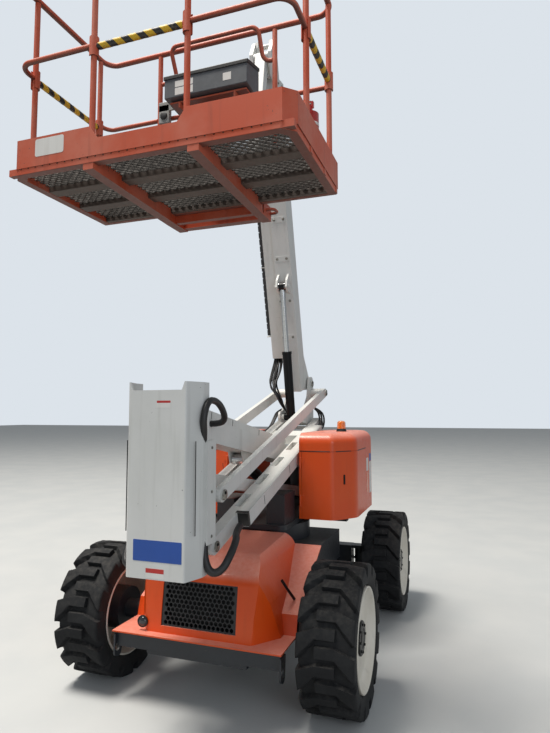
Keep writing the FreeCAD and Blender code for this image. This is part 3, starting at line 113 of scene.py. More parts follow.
light = {
    "sky": "#E9EFF5",        # what lights the object
    "backdrop": "#DCE3EA",   # what the camera sees
    "skyStrength": 0.46,
    "keyPower": 8100,
    "keySize": 7.5,
    "fillPower": 150,
    "floor": "#7C7E7E",
    "floorWorn": "#6C6E6F",
    "floorSeen": "#B9BAB8",
    "floorSeenWorn": "#B3B5B4",
}
world = bpy.data.worlds.new("softStudio")
bpy.context.scene.world = world
world.use_nodes = True
sky = world.node_tree
sky.nodes.clear()
path = addNode(sky, "LightPath")
seen = addNode(sky, "Math", {0: path.outputs["Is Camera Ray"], 1: path.outputs["Is Transmission Ray"]},
               operation="MAXIMUM")
ambient = addNode(sky, "Background", {"Color": linear(light["sky"]), "Strength": light["skyStrength"]})
backdrop = addNode(sky, "Background", {"Color": linear(light["backdrop"]), "Strength": 1.0})
choice = addNode(sky, "MixShader", {0: seen.outputs[0], 1: ambient.outputs[0], 2: backdrop.outputs[0]})
worldOut = sky.nodes.new("ShaderNodeOutputWorld")
sky.links.new(choice.outputs[0], worldOut.inputs["Surface"])


def areaLamp(name, place, target, power, size, colour):
    lamp = bpy.data.lights.new(name, "AREA")
    lamp.energy = power
    lamp.size = size
    lamp.color = linear(colour)[:3]
    holder = bpy.data.objects.new(name, lamp)
    bpy.context.scene.collection.objects.link(holder)
    holder.location = place
    holder.rotation_euler = (Vector(target) - Vector(place)).to_track_quat("-Z", "Y").to_euler()


areaLamp("key", (-6.0, -5.25, 23.25), (0, -0.5, 1.5), light["keyPower"], light["keySize"], "#FFFAF3")
areaLamp("fill", (6.0, -7.0, 3.5), (0, -0.5, 1.8), light["fillPower"], 4.0, "#EAF2FF")
bpy.context.scene.view_settings.view_transform = "Standard"


# Surfaces as grids of points

def addMesh(name, points, faces, material, crease=35):
    """A mesh object from an array of points and an array or list of faces, smooth up to the crease angle."""
    mesh = bpy.data.meshes.new(name)
    mesh.from_pydata(np.asarray(points, float).reshape(-1, 3).tolist(), [],
                     faces.tolist() if isinstance(faces, np.ndarray) else faces)
    mesh.polygons.foreach_set("use_smooth", np.ones(len(mesh.polygons), bool))
    mesh.set_sharp_from_angle(angle=math.radians(crease))
    mesh.materials.append(material)
    mesh.update()
    piece = bpy.data.objects.new(name, mesh)
    bpy.context.scene.collection.objects.link(piece)
    return piece


def gridFaces(rows, columns, loopRows=False, loopColumns=False, start=0):
    """Four corners of each cell: (i, j), (i, j+1), (i+1, j+1), (i+1, j); a looped way wraps to its start."""
    i = np.arange(rows if loopRows else rows - 1)
    j = np.arange(columns if loopColumns else columns - 1)
    i, j = np.meshgrid(i, j, indexing="ij")
    nextI, nextJ = (i + 1) % rows, (j + 1) % columns
    corners = [i * columns + j, i * columns + nextJ, nextI * columns + nextJ, nextI * columns + j]
    return np.stack(corners, -1).reshape(-1, 4) + start


def joined(parts):
    """Several (points, faces) as one, each part's faces counted on from the points before it."""
    points, faces, count = [], [], 0
    for somePoints, someFaces in parts:
        somePoints = np.asarray(somePoints, float).reshape(-1, 3)
        points.append(somePoints)
        faces += [[v + count for v in face] for face in np.asarray(someFaces).tolist()]
        count += len(somePoints)
    return np.concatenate(points), faces


def revolved(profile, steps, axis="X"):
    """Each profile point (along, out) turned about an axis: out times the cosine and sine of the angle."""
    profile = np.asarray(profile, float)
    angle = np.linspace(0, 2 * np.pi, steps, endpoint=False)
    along = np.broadcast_to(profile[:, 0], (steps, len(profile)))
    across = profile[:, 1] * np.cos(angle)[:, None]
    up = profile[:, 1] * np.sin(angle)[:, None]
    order = {"X": (along, across, up), "Z": (across, up, along), "Y": (up, along, across)}[axis]
    return np.stack(order, -1), gridFaces(steps, len(profile), loopRows=True)


def boxShape(low, high):
    """Eight corners and six outward faces of a box."""
    low, high = np.array(low, float), np.array(high, float)
    pick = np.array([[x, y, z] for z in (0, 1) for y in (0, 1) for x in (0, 1)])
    faces = np.array([[0, 2, 3, 1], [4, 5, 7, 6], [0, 1, 5, 4], [2, 6, 7, 3], [0, 4, 6, 2], [1, 3, 7, 5]])
    return low + pick * (high - low), faces


def bevelled(piece, width, segments=2):
    """Rounds the sharp edges of a finished piece by a small bevel."""
    step = piece.modifiers.new("bevel", "BEVEL")
    step.width = width
    step.segments = segments
    step.limit_method = "ANGLE"
    step.angle_limit = math.radians(40)
    return piece


# Finishes, each from what the real surface is made of

def objectPoint(tree, scale=(1, 1, 1)):
    """The point in metres on the piece, stretched by a scale."""
    where = addNode(tree, "TexCoord")
    return addNode(tree, "Mapping", {"Vector": where.outputs["Object"], "Scale": scale}).outputs["Vector"]


def ramped(tree, value, low, high, soft=True):
    """0 below low, 1 above high, and a smooth or straight step between."""
    step = addNode(tree, "MapRange", {"Value": value, "From Min": low, "From Max": high})
    step.interpolation_type = "SMOOTHSTEP" if soft else "LINEAR"
    return step.outputs["Result"]


def blended(tree, amount, first, second, mode="MIX"):
    """Colour first where amount is 0 and second where it is 1."""
    mix = addNode(tree, "Mix", {0: amount, 6: first, 7: second}, data_type="RGBA", blend_type=mode)
    return mix.outputs[2]


def enamel(name, colour, faded, grime, dust, rough, fade, dirt, chips, chipColour="#6B5F55", coat=0.0, peel=0.012,
           underShade=None, specular=0.5):
    """Sprayed enamel on steel: colour drifts to its faded tone over about half a metre, grime runs down
    in streaks 20 mm wide, dust lies on what faces up, and chips a few mm wide show primer or rust.
    The pale tone on what faces up is dust, and on the orange cover it is also painted sunlight and sky sheen."""
    material, tree = newMaterial(name)
    point = objectPoint(tree)
    drift = addNode(tree, "TexNoise", {"Vector": point, "Scale": 2.2, "Detail": 5, "Roughness": 0.6})
    fine = addNode(tree, "TexNoise", {"Vector": point, "Scale": 38, "Detail": 6, "Roughness": 0.65})
    streak = addNode(tree, "TexNoise", {"Vector": objectPoint(tree, (24, 24, 1.6)), "Scale": 1.0, "Detail": 4})
    spots = addNode(tree, "TexNoise", {"Vector": point, "Scale": 85, "Detail": 3, "Roughness": 0.5})
    rare = addNode(tree, "TexNoise", {"Vector": point, "Scale": 6, "Detail": 2})
    facing = addNode(tree, "SeparateXYZ", {0: addNode(tree, "NewGeometry").outputs["Normal"]})
    base = blended(tree, addNode(tree, "Math", {0: ramped(tree, drift.outputs["Fac"], 0.35, 0.7), 1: fade},
                                 operation="MULTIPLY").outputs[0], linear(colour), linear(faded))
    runs = addNode(tree, "Math", {0: ramped(tree, streak.outputs["Fac"], 0.52, 0.78), 1: dirt}, operation="MULTIPLY")
    base = blended(tree, runs.outputs[0], base, linear(grime))
    patchy = addNode(tree, "MapRange", {"Value": fine.outputs["Fac"], "From Min": 0.3, "From Max": 0.7,
                                        "To Min": 0.6, "To Max": 1.0})
    # Pale tone on up-facing faces: dust, and for the orange cover also painted sunlight and sky sheen on its tops.
    up = addNode(tree, "Math", {0: ramped(tree, facing.outputs["Z"], 0.25, 0.95), 1: patchy.outputs["Result"]},
                 operation="MULTIPLY")
    upDustAndTopLight = addNode(tree, "Math", {0: up.outputs[0], 1: dust[1]}, operation="MULTIPLY")
    base = blended(tree, upDustAndTopLight.outputs[0], base, linear(dust[0]))
    # Painted shade: faces that point down are mixed toward a darker colour, standing for the shadow that falls on them.
    if underShade:
        below = addNode(tree, "Math", {0: ramped(tree, facing.outputs["Z"], -0.3, -0.85), 1: underShade[1]},
                        operation="MULTIPLY")
        base = blended(tree, below.outputs[0], base, linear(underShade[0]))
    chip = addNode(tree, "Math", {0: ramped(tree, spots.outputs["Fac"], 0.735 - 0.05 * chips, 0.75 - 0.05 * chips),
                                  1: ramped(tree, rare.outputs["Fac"], 0.5, 0.62)}, operation="MULTIPLY")
    base = blended(tree, chip.outputs[0], base, linear(chipColour))
    gloss = addNode(tree, "MapRange", {"Value": fine.outputs["Fac"], "From Min": 0.2, "From Max": 0.8,
                                       "To Min": rough - 0.07, "To Max": rough + 0.12})
    shader = addNode(tree, "BsdfPrincipled", {"Base Color": base, "Roughness": gloss.outputs["Result"],
                                              "Coat Weight": coat, "Coat Roughness": 0.2,
                                              "Specular IOR Level": specular})
    grain = addNode(tree, "TexNoise", {"Vector": point, "Scale": 140, "Detail": 3})
    bump = addNode(tree, "Bump", {"Height": grain.outputs["Fac"], "Strength": peel * 10, "Distance": 0.0006})
    finishMaterial(tree, shader, bump.outputs["Normal"])
    return material


def moulded(name, colour, second, rough, grainScale, grainDepth, dustColour=None, dustAmount=0.0, specular=0.5):
    """Moulded rubber or plastic: two close tones over a fine grain, with dust on what faces up."""
    material, tree = newMaterial(name)
    point = objectPoint(tree)
    tone = addNode(tree, "TexNoise", {"Vector": point, "Scale": 9, "Detail": 6, "Roughness": 0.62})
    base = blended(tree, ramped(tree, tone.outputs["Fac"], 0.35, 0.68), linear(colour), linear(second))
    if dustColour:
        facing = addNode(tree, "SeparateXYZ", {0: addNode(tree, "NewGeometry").outputs["Normal"]})
        patch = addNode(tree, "TexNoise", {"Vector": point, "Scale": 30, "Detail": 6, "Roughness": 0.7})
        lying = addNode(tree, "Math", {0: ramped(tree, facing.outputs["Z"], -0.1, 1.0),
                                       1: ramped(tree, patch.outputs["Fac"], 0.38, 0.72)}, operation="MULTIPLY")
        amount = addNode(tree, "Math", {0: lying.outputs[0], 1: dustAmount}, operation="MULTIPLY")
        base = blended(tree, amount.outputs[0], base, linear(dustColour))
    shader = addNode(tree, "BsdfPrincipled", {"Base Color": base, "Roughness": rough,
                                              "Specular IOR Level": specular})
    grain = addNode(tree, "TexNoise", {"Vector": point, "Scale": grainScale, "Detail": 4})
    bump = addNode(tree, "Bump", {"Height": grain.outputs["Fac"], "Strength": 0.35, "Distance": grainDepth})
    finishMaterial(tree, shader, bump.outputs["Normal"])
    return material


def metal(name, colour, second, rough, brushed=(60, 60, 60), streaks=0.35):
    """Bare or plated metal: tone and gloss vary along the way it was brushed or drawn."""
    material, tree = newMaterial(name)
    lines = addNode(tree, "TexNoise", {"Vector": objectPoint(tree, brushed), "Scale": 1.0, "Detail": 6})
    base = blended(tree, ramped(tree, lines.outputs["Fac"], 0.3, 0.75), linear(colour), linear(second))
    gloss = addNode(tree, "MapRange", {"Value": lines.outputs["Fac"], "From Min": 0.2, "From Max": 0.8,
                                       "To Min": rough, "To Max": rough + 0.22})
    shader = addNode(tree, "BsdfPrincipled", {"Base Color": base, "Roughness": gloss.outputs["Result"],
                                              "Metallic": 1.0})
    bump = addNode(tree, "Bump", {"Height": lines.outputs["Fac"], "Strength": streaks, "Distance": 0.0004})
    finishMaterial(tree, shader, bump.outputs["Normal"])
    return material


# Its pale top tone is dust and also painted top light: sun and sky sheen on the bonnet and cowl tops.
coverOrange = enamel("gelcoatOrangeCover", "#D84802", "#DC5614", "#8E3A10", ("#EDAA98", 0.75), 0.38, 0.6, 0.14,
                     0.0, coat=0.15)
# Platform enamel; the dark brown it takes on faces that point down is painted shade.
cageOrange = enamel("chalkedEnamelOrangeRed", "#BC4A26", "#C26F58", "#6F3526", ("#CB9684", 0.3), 0.52, 0.85, 0.34,
                    1.0, chipColour="#5E3B30", underShade=("#4A3630", 0.8))
boomWhite = enamel("sprayedEnamelOffWhite", "#D5D5D1", "#C8C9C4", "#98958B", ("#C2C1B9", 0.35), 0.42, 0.6, 0.22,
                   0.25, chipColour="#5A5852")
frameGrey = enamel("sprayedEnamelSlateGrey", "#171B21", "#22272D", "#151618", ("#6C6B66", 0.34), 0.42, 0.7, 0.3,
                   0.6, chipColour="#5A4A40")
rimCream = enamel("sprayedEnamelCreamRim", "#E2DCCF", "#D3CAB6", "#8A8376", ("#B8AE9C", 0.3), 0.4, 0.5, 0.25, 0.2)
barrelBlack = enamel("sprayedEnamelBlack", "#05070A", "#0C0E12", "#1A1918", ("#5B5953", 0.25), 0.34, 0.5, 0.2, 0.3,
                     specular=0.2)
bottleRed = enamel("enamelRedBottle", "#B9211D", "#A31E1C", "#6B1B18", ("#C98F88", 0.2), 0.28, 0.5, 0.15, 0.2,
                   coat=0.4)
tyreRubber = moulded("vulcanisedRubberTyre", "#151618", "#202122", 0.78, 260, 0.0012, "#5E5A54", 0.30, 0.3)
hoseRubber = moulded("extrudedRubberHose", "#0D0D0E", "#161617", 0.5, 600, 0.0003)
chainPlastic = moulded("mouldedNylonBlack", "#1B1C1E", "#2A2B2D", 0.55, 500, 0.0002, "#77736B", 0.25)
consolePlastic = moulded("mouldedAbsDarkGrey", "#4A4E52", "#565A5E", 0.5, 420, 0.0003, "#8A867E", 0.3)
# Dark brown painted shade for the shadowed undersides of the platform's orange ribs; its streaks and chips are grime
# and wear.
paintedShadeBar = enamel("paintedShadeSteelBar", "#4A4039", "#574A41", "#2E2824", ("#6F655C", 0.3), 0.62, 0.7, 0.4, 0.8,
                      chipColour="#6A4A3A")
outletGrey = moulded("mouldedPolyLightGrey", "#8E908E", "#A09F9A", 0.5, 420, 0.0003, "#B8B3A8", 0.2)
chromeRod = metal("hardChromedRod", "#C9CBCC", "#B4B6B8", 0.08, (4, 4, 300), 0.05)
zincMesh = metal("galvanisedExpandedMesh", "#4A4744", "#2E2C2A", 0.55, (70, 70, 70), 0.3)
zincBolt = metal("zincPlatedBolt", "#9A9A94", "#77756E", 0.35)
castGrey = enamel("paintedCastIron", "#44474C", "#525559", "#2F2F30", ("#8B8983", 0.45), 0.6, 0.6, 0.3, 0.6,
                  peel=0.05)
blankWhite = enamel("printedVinylBlank", "#DDDBD6", "#CFCCC4", "#A8A296", ("#CFC9BE", 0.2), 0.4, 0.5, 0.2, 0.2)
blankBlue = enamel("printedVinylBlue", "#1F4C9C", "#1B4389", "#1A3566", ("#8FA2C4", 0.15), 0.35, 0.4, 0.12, 0.1)
blankRed = enamel("printedVinylRed", "#B8322C", "#A62E2A", "#7A2A26", ("#C98F88", 0.15), 0.4, 0.4, 0.12, 0.1)


def lensMaterial():
    """Moulded amber polycarbonate: clear enough to glow a little at its edges."""
    material, tree = newMaterial("mouldedPolycarbonateAmber")
    point = objectPoint(tree, (1, 1, 1))
    rings = addNode(tree, "TexWave", {"Vector": point, "Scale": 60, "Distortion": 0.0}, bands_direction="Z")
    base = blended(tree, rings.outputs["Fac"], linear("#F08A1C"), linear("#D96A0C"))
    shader = addNode(tree, "BsdfPrincipled", {"Base Color": base, "Roughness": 0.18, "Transmission Weight": 0.25,
                                              "Coat Weight": 0.5})
    finishMaterial(tree, shader)
    return material


amberLens = lensMaterial()
darkLens = moulded("smokedPolycarbonateLens", "#1A1C20", "#23262B", 0.12, 300, 0.0001, specular=0.8)
reflexOrange = moulded("reflexAcrylicOrange", "#E8641A", "#D6560F", 0.2, 800, 0.0004, specular=0.7)

dress = {
    coverOrange: ["bonnet", "cowls", "cowl_door_left", "cowl_door_right"],
    boomWhite: ["lower_boom", "lower_link", "knuckle", "upper_arms", "upper_links", "tower", "main_boom", "fly_boom",
                "jib_head", "jib_arm", "jib_bracket"],
    frameGrey: ["chassis_frame", "front_axle", "steering_axle", "steering_knuckle_left", "steering_knuckle_right",
                "turntable"],
    rimCream: ["rim_front_left", "rim_front_right", "rim_rear_left", "rim_rear_right"],
    tyreRubber: ["tyre_front_left", "tyre_front_right", "tyre_rear_left", "tyre_rear_right"],
    barrelBlack: ["steering_cylinder", "riser_cylinder_barrel", "boom_cylinder_barrel", "jib_cylinder_barrel"],
    chromeRod: ["steering_link", "riser_cylinder_rod", "boom_cylinder_rod", "jib_cylinder_rod"],
    castGrey: ["engine_block", "counterweight"],
    chainPlastic: ["energy_chain", "grille", "cowl_tanks"],
    consolePlastic: ["console"],
    amberLens: ["beacon"],
    zincMesh: ["platform_floor"],
    bottleRed: ["extinguisher"],
    cageOrange: ["platform_frame", "guard_rails", "drop_bar_front", "drop_bar_left", "drop_bar_right"],
}
for material, names in dress.items():
    for name in names:
        mesh = nodes[name].data
        mesh.materials.clear()
        mesh.materials.append(material)
print("finishes on", sum(len(names) for names in dress.values()), "nodes")


# Tyres: a rounded carcass and the leaning lugs over it, shared by the four wheels

tyre = {
    "radius": 0.428, "bead": 0.2965, "half": 0.165, "lugs": 14, "steps": 588, "top": 0.08675, "thick": 0.062,
    "flare": 0.135, "cross": 0.060, "bend": 0.055, "wall": 0.0032,
}
wheelSpots = {"front_left": (-1, -1), "front_right": (1, -1), "rear_left": (-1, 1), "rear_right": (1, 1)}
axleSpot = {"x": 0.808, "y": 0.938, "z": 0.428}


def tyreMesh():
    # Columns run over the section from bead to bead: each has a place on the bare carcass and one on a lug.
    bare = np.array([[-0.118, 0.2965], [-0.140, 0.2972], [-0.150, 0.306], [-0.158, 0.322], [-0.1625, 0.340],
                     [-0.1635, 0.352], [-0.160, 0.368], [-0.152, 0.382], [-0.142, 0.392], [-0.130, 0.3975], [0, 0.401]])
    lugged = np.array([[-0.118, 0.2965], [-0.140, 0.2972], [-0.150, 0.306], [-0.158, 0.322], [-0.1630, 0.342],
                       [-0.1655, 0.362], [-0.1660, 0.386], [-0.1650, 0.414], [-0.160, 0.4235], [-0.150, 0.4272],
                       [0, 0.4285]])
    sideCount, treadCount = 10, 31
    t = np.linspace(0, sideCount - 1, 21)
    def spread(section):
        side = np.stack([np.interp(t, np.arange(sideCount), section[:sideCount, k]) for k in (0, 1)], -1)
        tread = np.stack([np.interp(np.linspace(0, 1, treadCount)[1:], [0, 1], section[sideCount - 1:, k])
                          for k in (0, 1)], -1)
        half = np.concatenate([side, tread])
        return np.concatenate([half, half[-2::-1] * [-1, 1]])
    bare, lugged = spread(bare), spread(lugged)
    angle = np.linspace(0, 2 * np.pi, tyre["steps"], endpoint=False)[:, None]
    # On the sidewall a lug keeps the width it has at the shoulder.
    across = np.where(lugged[:, 1] < 0.4235, np.sign(lugged[:, 0]) * tyre["half"], lugged[:, 0])
    pitch = 2 * np.pi * tyre["radius"] / tyre["lugs"]
    foot = -tyre["top"]
    mask = 0
    for side in (-1, 1):
        # v is the distance round the tread from a lug's middle: angle times radius, folded into one pitch.
        turn = angle / (2 * np.pi) * tyre["lugs"] - 0.5 * (side > 0)
        v = (turn - np.round(turn)) * pitch
        reach = side * across
        spots = [tyre["bend"], tyre["half"]]
        upper = np.interp(reach, spots, [tyre["top"], foot + tyre["flare"]])
        lower = np.interp(reach, spots, [tyre["top"] - tyre["thick"], foot])
        inside = np.minimum(np.minimum(upper - v, v - lower), reach + tyre["cross"])
        mask = np.maximum(mask, np.clip(inside / tyre["wall"] + 0.5, 0, 1))
    mask = mask * mask * (3 - 2 * mask)
    section = bare + (lugged - bare) * mask[..., None]
    wear = 0.0007 * np.sin(angle * 37 + across * 60) * np.sin(angle * 11 - across * 90) * mask
    out = section[..., 1] + wear
    points = np.stack([section[..., 0], out * np.sin(angle), out * np.cos(angle)], -1)
    faces = gridFaces(tyre["steps"], len(bare), loopRows=True)
    return points.reshape(-1, 3), faces[:, ::-1], mask.reshape(-1)


tyrePoints, tyreFaces, tyreHeight = tyreMesh()
for name, (side, end) in wheelSpots.items():
    spot = np.array([side * axleSpot["x"], end * axleSpot["y"], axleSpot["z"]])
    piece = addMesh("tyreTread_" + name, tyrePoints + spot, tyreFaces, tyreRubber, 50)
    lugLayer = piece.data.attributes.new("lugHeight", "FLOAT", "POINT")
    lugLayer.data.foreach_set("value", tyreHeight.astype(np.float32))
    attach(piece, "wheel_" + name)
    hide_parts("tyre_" + name)

wheel = {"disc": 0.107, "bolts": 8, "boltRing": 0.079}
rimProfile = [
    (wheel["disc"] + 0.011, 0.0), (wheel["disc"] + 0.011, 0.098), (wheel["disc"] + 0.010, 0.106),
    (wheel["disc"] + 0.007, 0.190), (wheel["disc"] + 0.006, 0.232), (wheel["disc"] + 0.008, 0.242),
    (wheel["disc"] + 0.014, 0.252), (wheel["disc"] + 0.023, 0.264), (0.142, 0.2735), (0.151, 0.279), (0.1565, 0.2835),
    (0.1585, 0.288), (0.1585, 0.2925), (0.156, 0.2955), (0.150, 0.2960), (0.125, 0.2955), (-0.125, 0.2955),
    (-0.143, 0.2960), (-0.146, 0.292), (-0.146, 0.285), (-0.142, 0.2825), (-0.130, 0.281), (-0.105, 0.2730),
    (wheel["disc"] - 0.010, 0.272), (wheel["disc"] - 0.004, 0.250), (wheel["disc"], 0.240), (wheel["disc"], 0.0),
]
hubProfile = [(wheel["disc"] + 0.008, 0.0985), (wheel["disc"] + 0.018, 0.0985), (wheel["disc"] + 0.0225, 0.0945),
              (wheel["disc"] + 0.0232, 0.0930), (wheel["disc"] + 0.0232, 0.0580), (wheel["disc"] + 0.0210, 0.0560),
              (wheel["disc"] + 0.0210, 0.0400), (wheel["disc"] + 0.0240, 0.0370), (wheel["disc"] + 0.0250, 0.0330),
              (wheel["disc"] + 0.0250, 0.0)]


def ringOf(count, out, along, shape, twist=0.0):
    # Copies of a small shape set round the axle at one distance from it.
    parts = []
    points, faces = shape
    points = np.asarray(points, float).reshape(-1, 3)
    for k in range(count):
        a = 2 * np.pi * (k + twist) / count
        turn = np.array([[1, 0, 0], [0, np.cos(a), -np.sin(a)], [0, np.sin(a), np.cos(a)]])
        parts.append(((points + [along, 0, out]) @ turn.T, faces))
    return parts


boltShape = revolved([(-0.002, 0.0), (-0.002, 0.0082), (0.0050, 0.0082), (0.0062, 0.0070), (0.0062, 0.0)], 6)
for name, (side, end) in wheelSpots.items():
    spot = np.array([side * axleSpot["x"], end * axleSpot["y"], axleSpot["z"]])
    bolts = ringOf(wheel["bolts"], wheel["boltRing"], wheel["disc"] + 0.0232, boltShape)
    looks = (
        ("rimDish_", joined([revolved(rimProfile, 112)]), rimCream),
        ("hubCap_", joined([revolved(hubProfile, 80)] + bolts), barrelBlack),
    )
    for label, (points, faces), material in looks:
        piece = addMesh(label + name, np.asarray(points) * [side, side, 1] + spot, faces, material, 30)
        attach(piece, "wheel_" + name)
        if label == "rimDish_":
            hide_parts("rim_" + name)
print("wheels dressed")


# Platform floor: expanded metal, its strands zigzag between the bonds where neighbours touch

mesh = {"pitchX": 0.050, "pitchY": 0.0220, "wide": 0.0090, "thick": 0.0040, "tilt": 0.0072, "z": 3.1458}
edge = {"x": 0.838, "front": -1.968, "back": -1.101, "corner": 0.060}
rows = int((edge["back"] - edge["front"]) / mesh["pitchY"]) + 1
steps = int(2 * edge["x"] / mesh["pitchX"] * 2) + 1
row, step = np.meshgrid(np.arange(rows), np.arange(steps * 2 - 1), indexing="ij")
# Half steps keep a short straight bond at each touching point: the path is y = row pitch plus a triangle wave.
phase = (step / 2 + row) % 2
wave = np.clip(np.abs(phase - 1) * 2 - 1, -0.62, 0.62) / 0.62
pathX = -edge["x"] + step * mesh["pitchX"] / 4
pathY = edge["front"] + row * mesh["pitchY"] + wave * (mesh["pitchY"] - mesh["wide"]) / 2
offsets = np.array([[-1, -1], [1, -1], [1, 1], [-1, 1]]) * [mesh["wide"] / 2, mesh["thick"] / 2]
lift = mesh["tilt"] * offsets[:, 0] / mesh["wide"] * 2
points = np.stack([np.broadcast_to(pathX[..., None], pathX.shape + (4,)), pathY[..., None] + offsets[:, 0],
                   np.broadcast_to(mesh["z"] + offsets[:, 1] + lift, pathX.shape + (4,))], -1)
count = pathX.shape[1]
strand = gridFaces(count, 4, loopColumns=True)
faces = (strand[None] + (np.arange(rows) * count * 4)[:, None, None]).reshape(-1, 4)
flat = points.reshape(-1, 3)
middle = flat[faces].mean(1)
cornerCut = np.abs(middle[:, 0]) - edge["x"] + (edge["front"] + edge["corner"] - middle[:, 1]) > 0
keep = (np.abs(middle[:, 0]) < edge["x"]) & ~cornerCut
piece = addMesh("floorMesh", flat, faces[keep], zincMesh, 30)
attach(piece, "platform")
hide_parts("platform_floor")
print("floor mesh,", int(keep.sum()), "faces")


# Hazard tape wound round the three drop bars

def hazardTape(axis):
    # Black and yellow bands wind round the bar: along the bar plus the angle round it, over the pitch.
    material, tree = newMaterial("windingHazardTape" + axis)
    where = addNode(tree, "SeparateXYZ", {0: addNode(tree, "TexCoord").outputs["Object"]})
    along = where.outputs[axis]
    rise = addNode(tree, "Math", {0: where.outputs["Z"], 1: 0.9}, operation="MULTIPLY")
    total = addNode(tree, "Math", {0: along, 1: rise.outputs[0]}, operation="ADD")
    turns = addNode(tree, "Math", {0: total.outputs[0], 1: 1 / 0.095}, operation="MULTIPLY")
    band = addNode(tree, "Math", {0: turns.outputs[0]}, operation="FRACT")
    dark = addNode(tree, "MapRange", {"Value": band.outputs[0], "From Min": 0.48, "From Max": 0.52})
    point = objectPoint(tree)
    scuff = addNode(tree, "TexNoise", {"Vector": point, "Scale": 55, "Detail": 6})
    tape = blended(tree, dark.outputs["Result"], linear("#DDB224"), linear("#1C1B19"))
    worn = addNode(tree, "Math", {0: ramped(tree, scuff.outputs["Fac"], 0.55, 0.72), 1: 0.45}, operation="MULTIPLY")
    base = blended(tree, worn.outputs[0], tape, linear("#7C7258"))
    shader = addNode(tree, "BsdfPrincipled", {"Base Color": base, "Roughness": 0.46})
    bump = addNode(tree, "Bump", {"Height": scuff.outputs["Fac"], "Strength": 0.5, "Distance": 0.0008})
    finishMaterial(tree, shader, bump.outputs["Normal"])
    return material


bars = {
    "front": ("X", (-0.276, 0.250), (-1.9582, 3.770)),
    "left": ("Y", (-1.795, -1.235), (-0.8312, 3.770)),
    "right": ("Y", (-1.675, -1.235), (0.8312, 3.770)),
}
for name, (axis, (low, high), (other, z)) in bars.items():
    length = high - low
    t = np.linspace(0, 1, int(length / 0.004))
    ridge = 0.0008 * np.abs(np.sin(np.pi * t * length / 0.0475))
    thick = np.where((t < 0.01) | (t > 0.99), 0.0164, 0.0182) + ridge
    points, faces = revolved(np.stack([low + t * length, thick], -1), 28, axis)
    offset = [0, other, z] if axis == "X" else [other, 0, z]
    piece = addMesh("hazardWrap_" + name, points.reshape(-1, 3) + offset, faces, hazardTape(axis), 60)
    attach(piece, "bar_" + name)
print("bars wrapped")


# Main boom: everything on it is placed in its own frame, upright about the foot pin, then leaned

boom = {"lean": 15.0, "foot": (0.0, 0.895, 2.05), "half": 0.078, "face": -0.250, "long": 2.760}


def leaned(points):
    # Turned about X by the lean, then moved to the foot pin: y cos - z sin, y sin + z cos.
    a = math.radians(boom["lean"])
    points = np.asarray(points, float).reshape(-1, 3)
    y = points[:, 1] * math.cos(a) - points[:, 2] * math.sin(a)
    z = points[:, 1] * math.sin(a) + points[:, 2] * math.cos(a)
    return np.stack([points[:, 0], y, z], -1) + boom["foot"]


def boltHead(spot, way, radius=0.0085, high=0.006, washer=0.0125):
    # A hexagon head on its washer, its axis from the spot along way.
    way = Vector(way).normalized()
    turn = np.array(way.to_track_quat("X", "Z").to_matrix())
    head, headFaces = revolved([(0.0, 0.0), (0.0, radius), (high * 0.85, radius), (high, radius * 0.86), (high, 0.0)], 6)
    ring, ringFaces = revolved([(-0.001, 0.0), (-0.001, washer), (0.0016, washer), (0.0016, 0.0)], 20)
    points, faces = joined([(head + [0.0016, 0, 0], headFaces), (ring, ringFaces)])
    return points @ turn.T + np.asarray(spot), faces


def discShape(spot, way, radius, high, steps=36, soft=0.002):
    # A round head with a softened rim, its axis from the spot along way.
    way = Vector(way).normalized()
    turn = np.array(way.to_track_quat("X", "Z").to_matrix())
    points, faces = revolved([(-0.001, 0.0), (-0.001, radius), (high - soft, radius), (high - soft * 0.3, radius - soft * 0.3),
                              (high, radius - soft), (high, 0.0)], steps)
    return points.reshape(-1, 3) @ turn.T + np.asarray(spot), faces


strips = {"high": (0.500, 0.835, 1.217, 1.565), "across": 0.044, "plate": (0.064, 0.026, 0.003)}
plates, bolts = [], []
for z in strips["high"]:
    wide, tall, thick = strips["plate"]
    plates.append(boxShape((-wide, boom["face"] - thick, z - tall), (wide, boom["face"] + 0.0005, z + tall)))
    for x in (-strips["across"], strips["across"]):
        bolts.append(boltHead((x, boom["face"] - thick, z), (0, -1, 0)))
for side in (-1, 1):
    for z in (2.655, 2.705):
        for y in (-0.215, -0.115):
            bolts.append(boltHead((side * 0.0905, y, z), (side, 0, 0), 0.007, 0.005, 0.010))
for label, parts, material in (("padStrips", plates, boomWhite), ("padBolts", bolts, zincBolt)):
    points, faces = joined(parts)
    piece = addMesh(label, leaned(points), faces, material, 30)
    if label == "padStrips":
        bevelled(piece, 0.0015)
    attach(piece, "main_boom")

# Energy chain: link plates lapping one over the next, a pin boss and a cross bar in each
chain = {"low": 0.520, "pitch": 0.060, "count": 34, "outer": -0.220, "inner": -0.1825, "front": -0.206, "back": -0.146}
links, bars = [], []
for k in range(chain["count"]):
    z = chain["low"] + k * chain["pitch"]
    for x, thick in ((chain["outer"] + 0.004, 0.004), (chain["inner"] - 0.004, 0.004)):
        lap = 0.0012 if k % 2 else -0.0012
        links.append(boxShape((x - thick + lap, chain["front"] + 0.006, z), (x + thick + lap, chain["back"] - 0.004, z + 0.050)))
        links.append(discShape((x + lap, (chain["front"] + chain["back"]) / 2, z + 0.045), (-1, 0, 0), 0.016, 0.0055, 24))
    for y in (chain["front"] + 0.008, chain["back"] - 0.006):
        bars.append(boxShape((chain["outer"] + 0.004, y - 0.005, z + 0.014), (chain["inner"] - 0.004, y + 0.005, z + 0.034)))
points, faces = joined(links + bars)
piece = bevelled(addMesh("chainLinks", leaned(points), faces, chainPlastic, 30), 0.0015)
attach(piece, "main_boom")
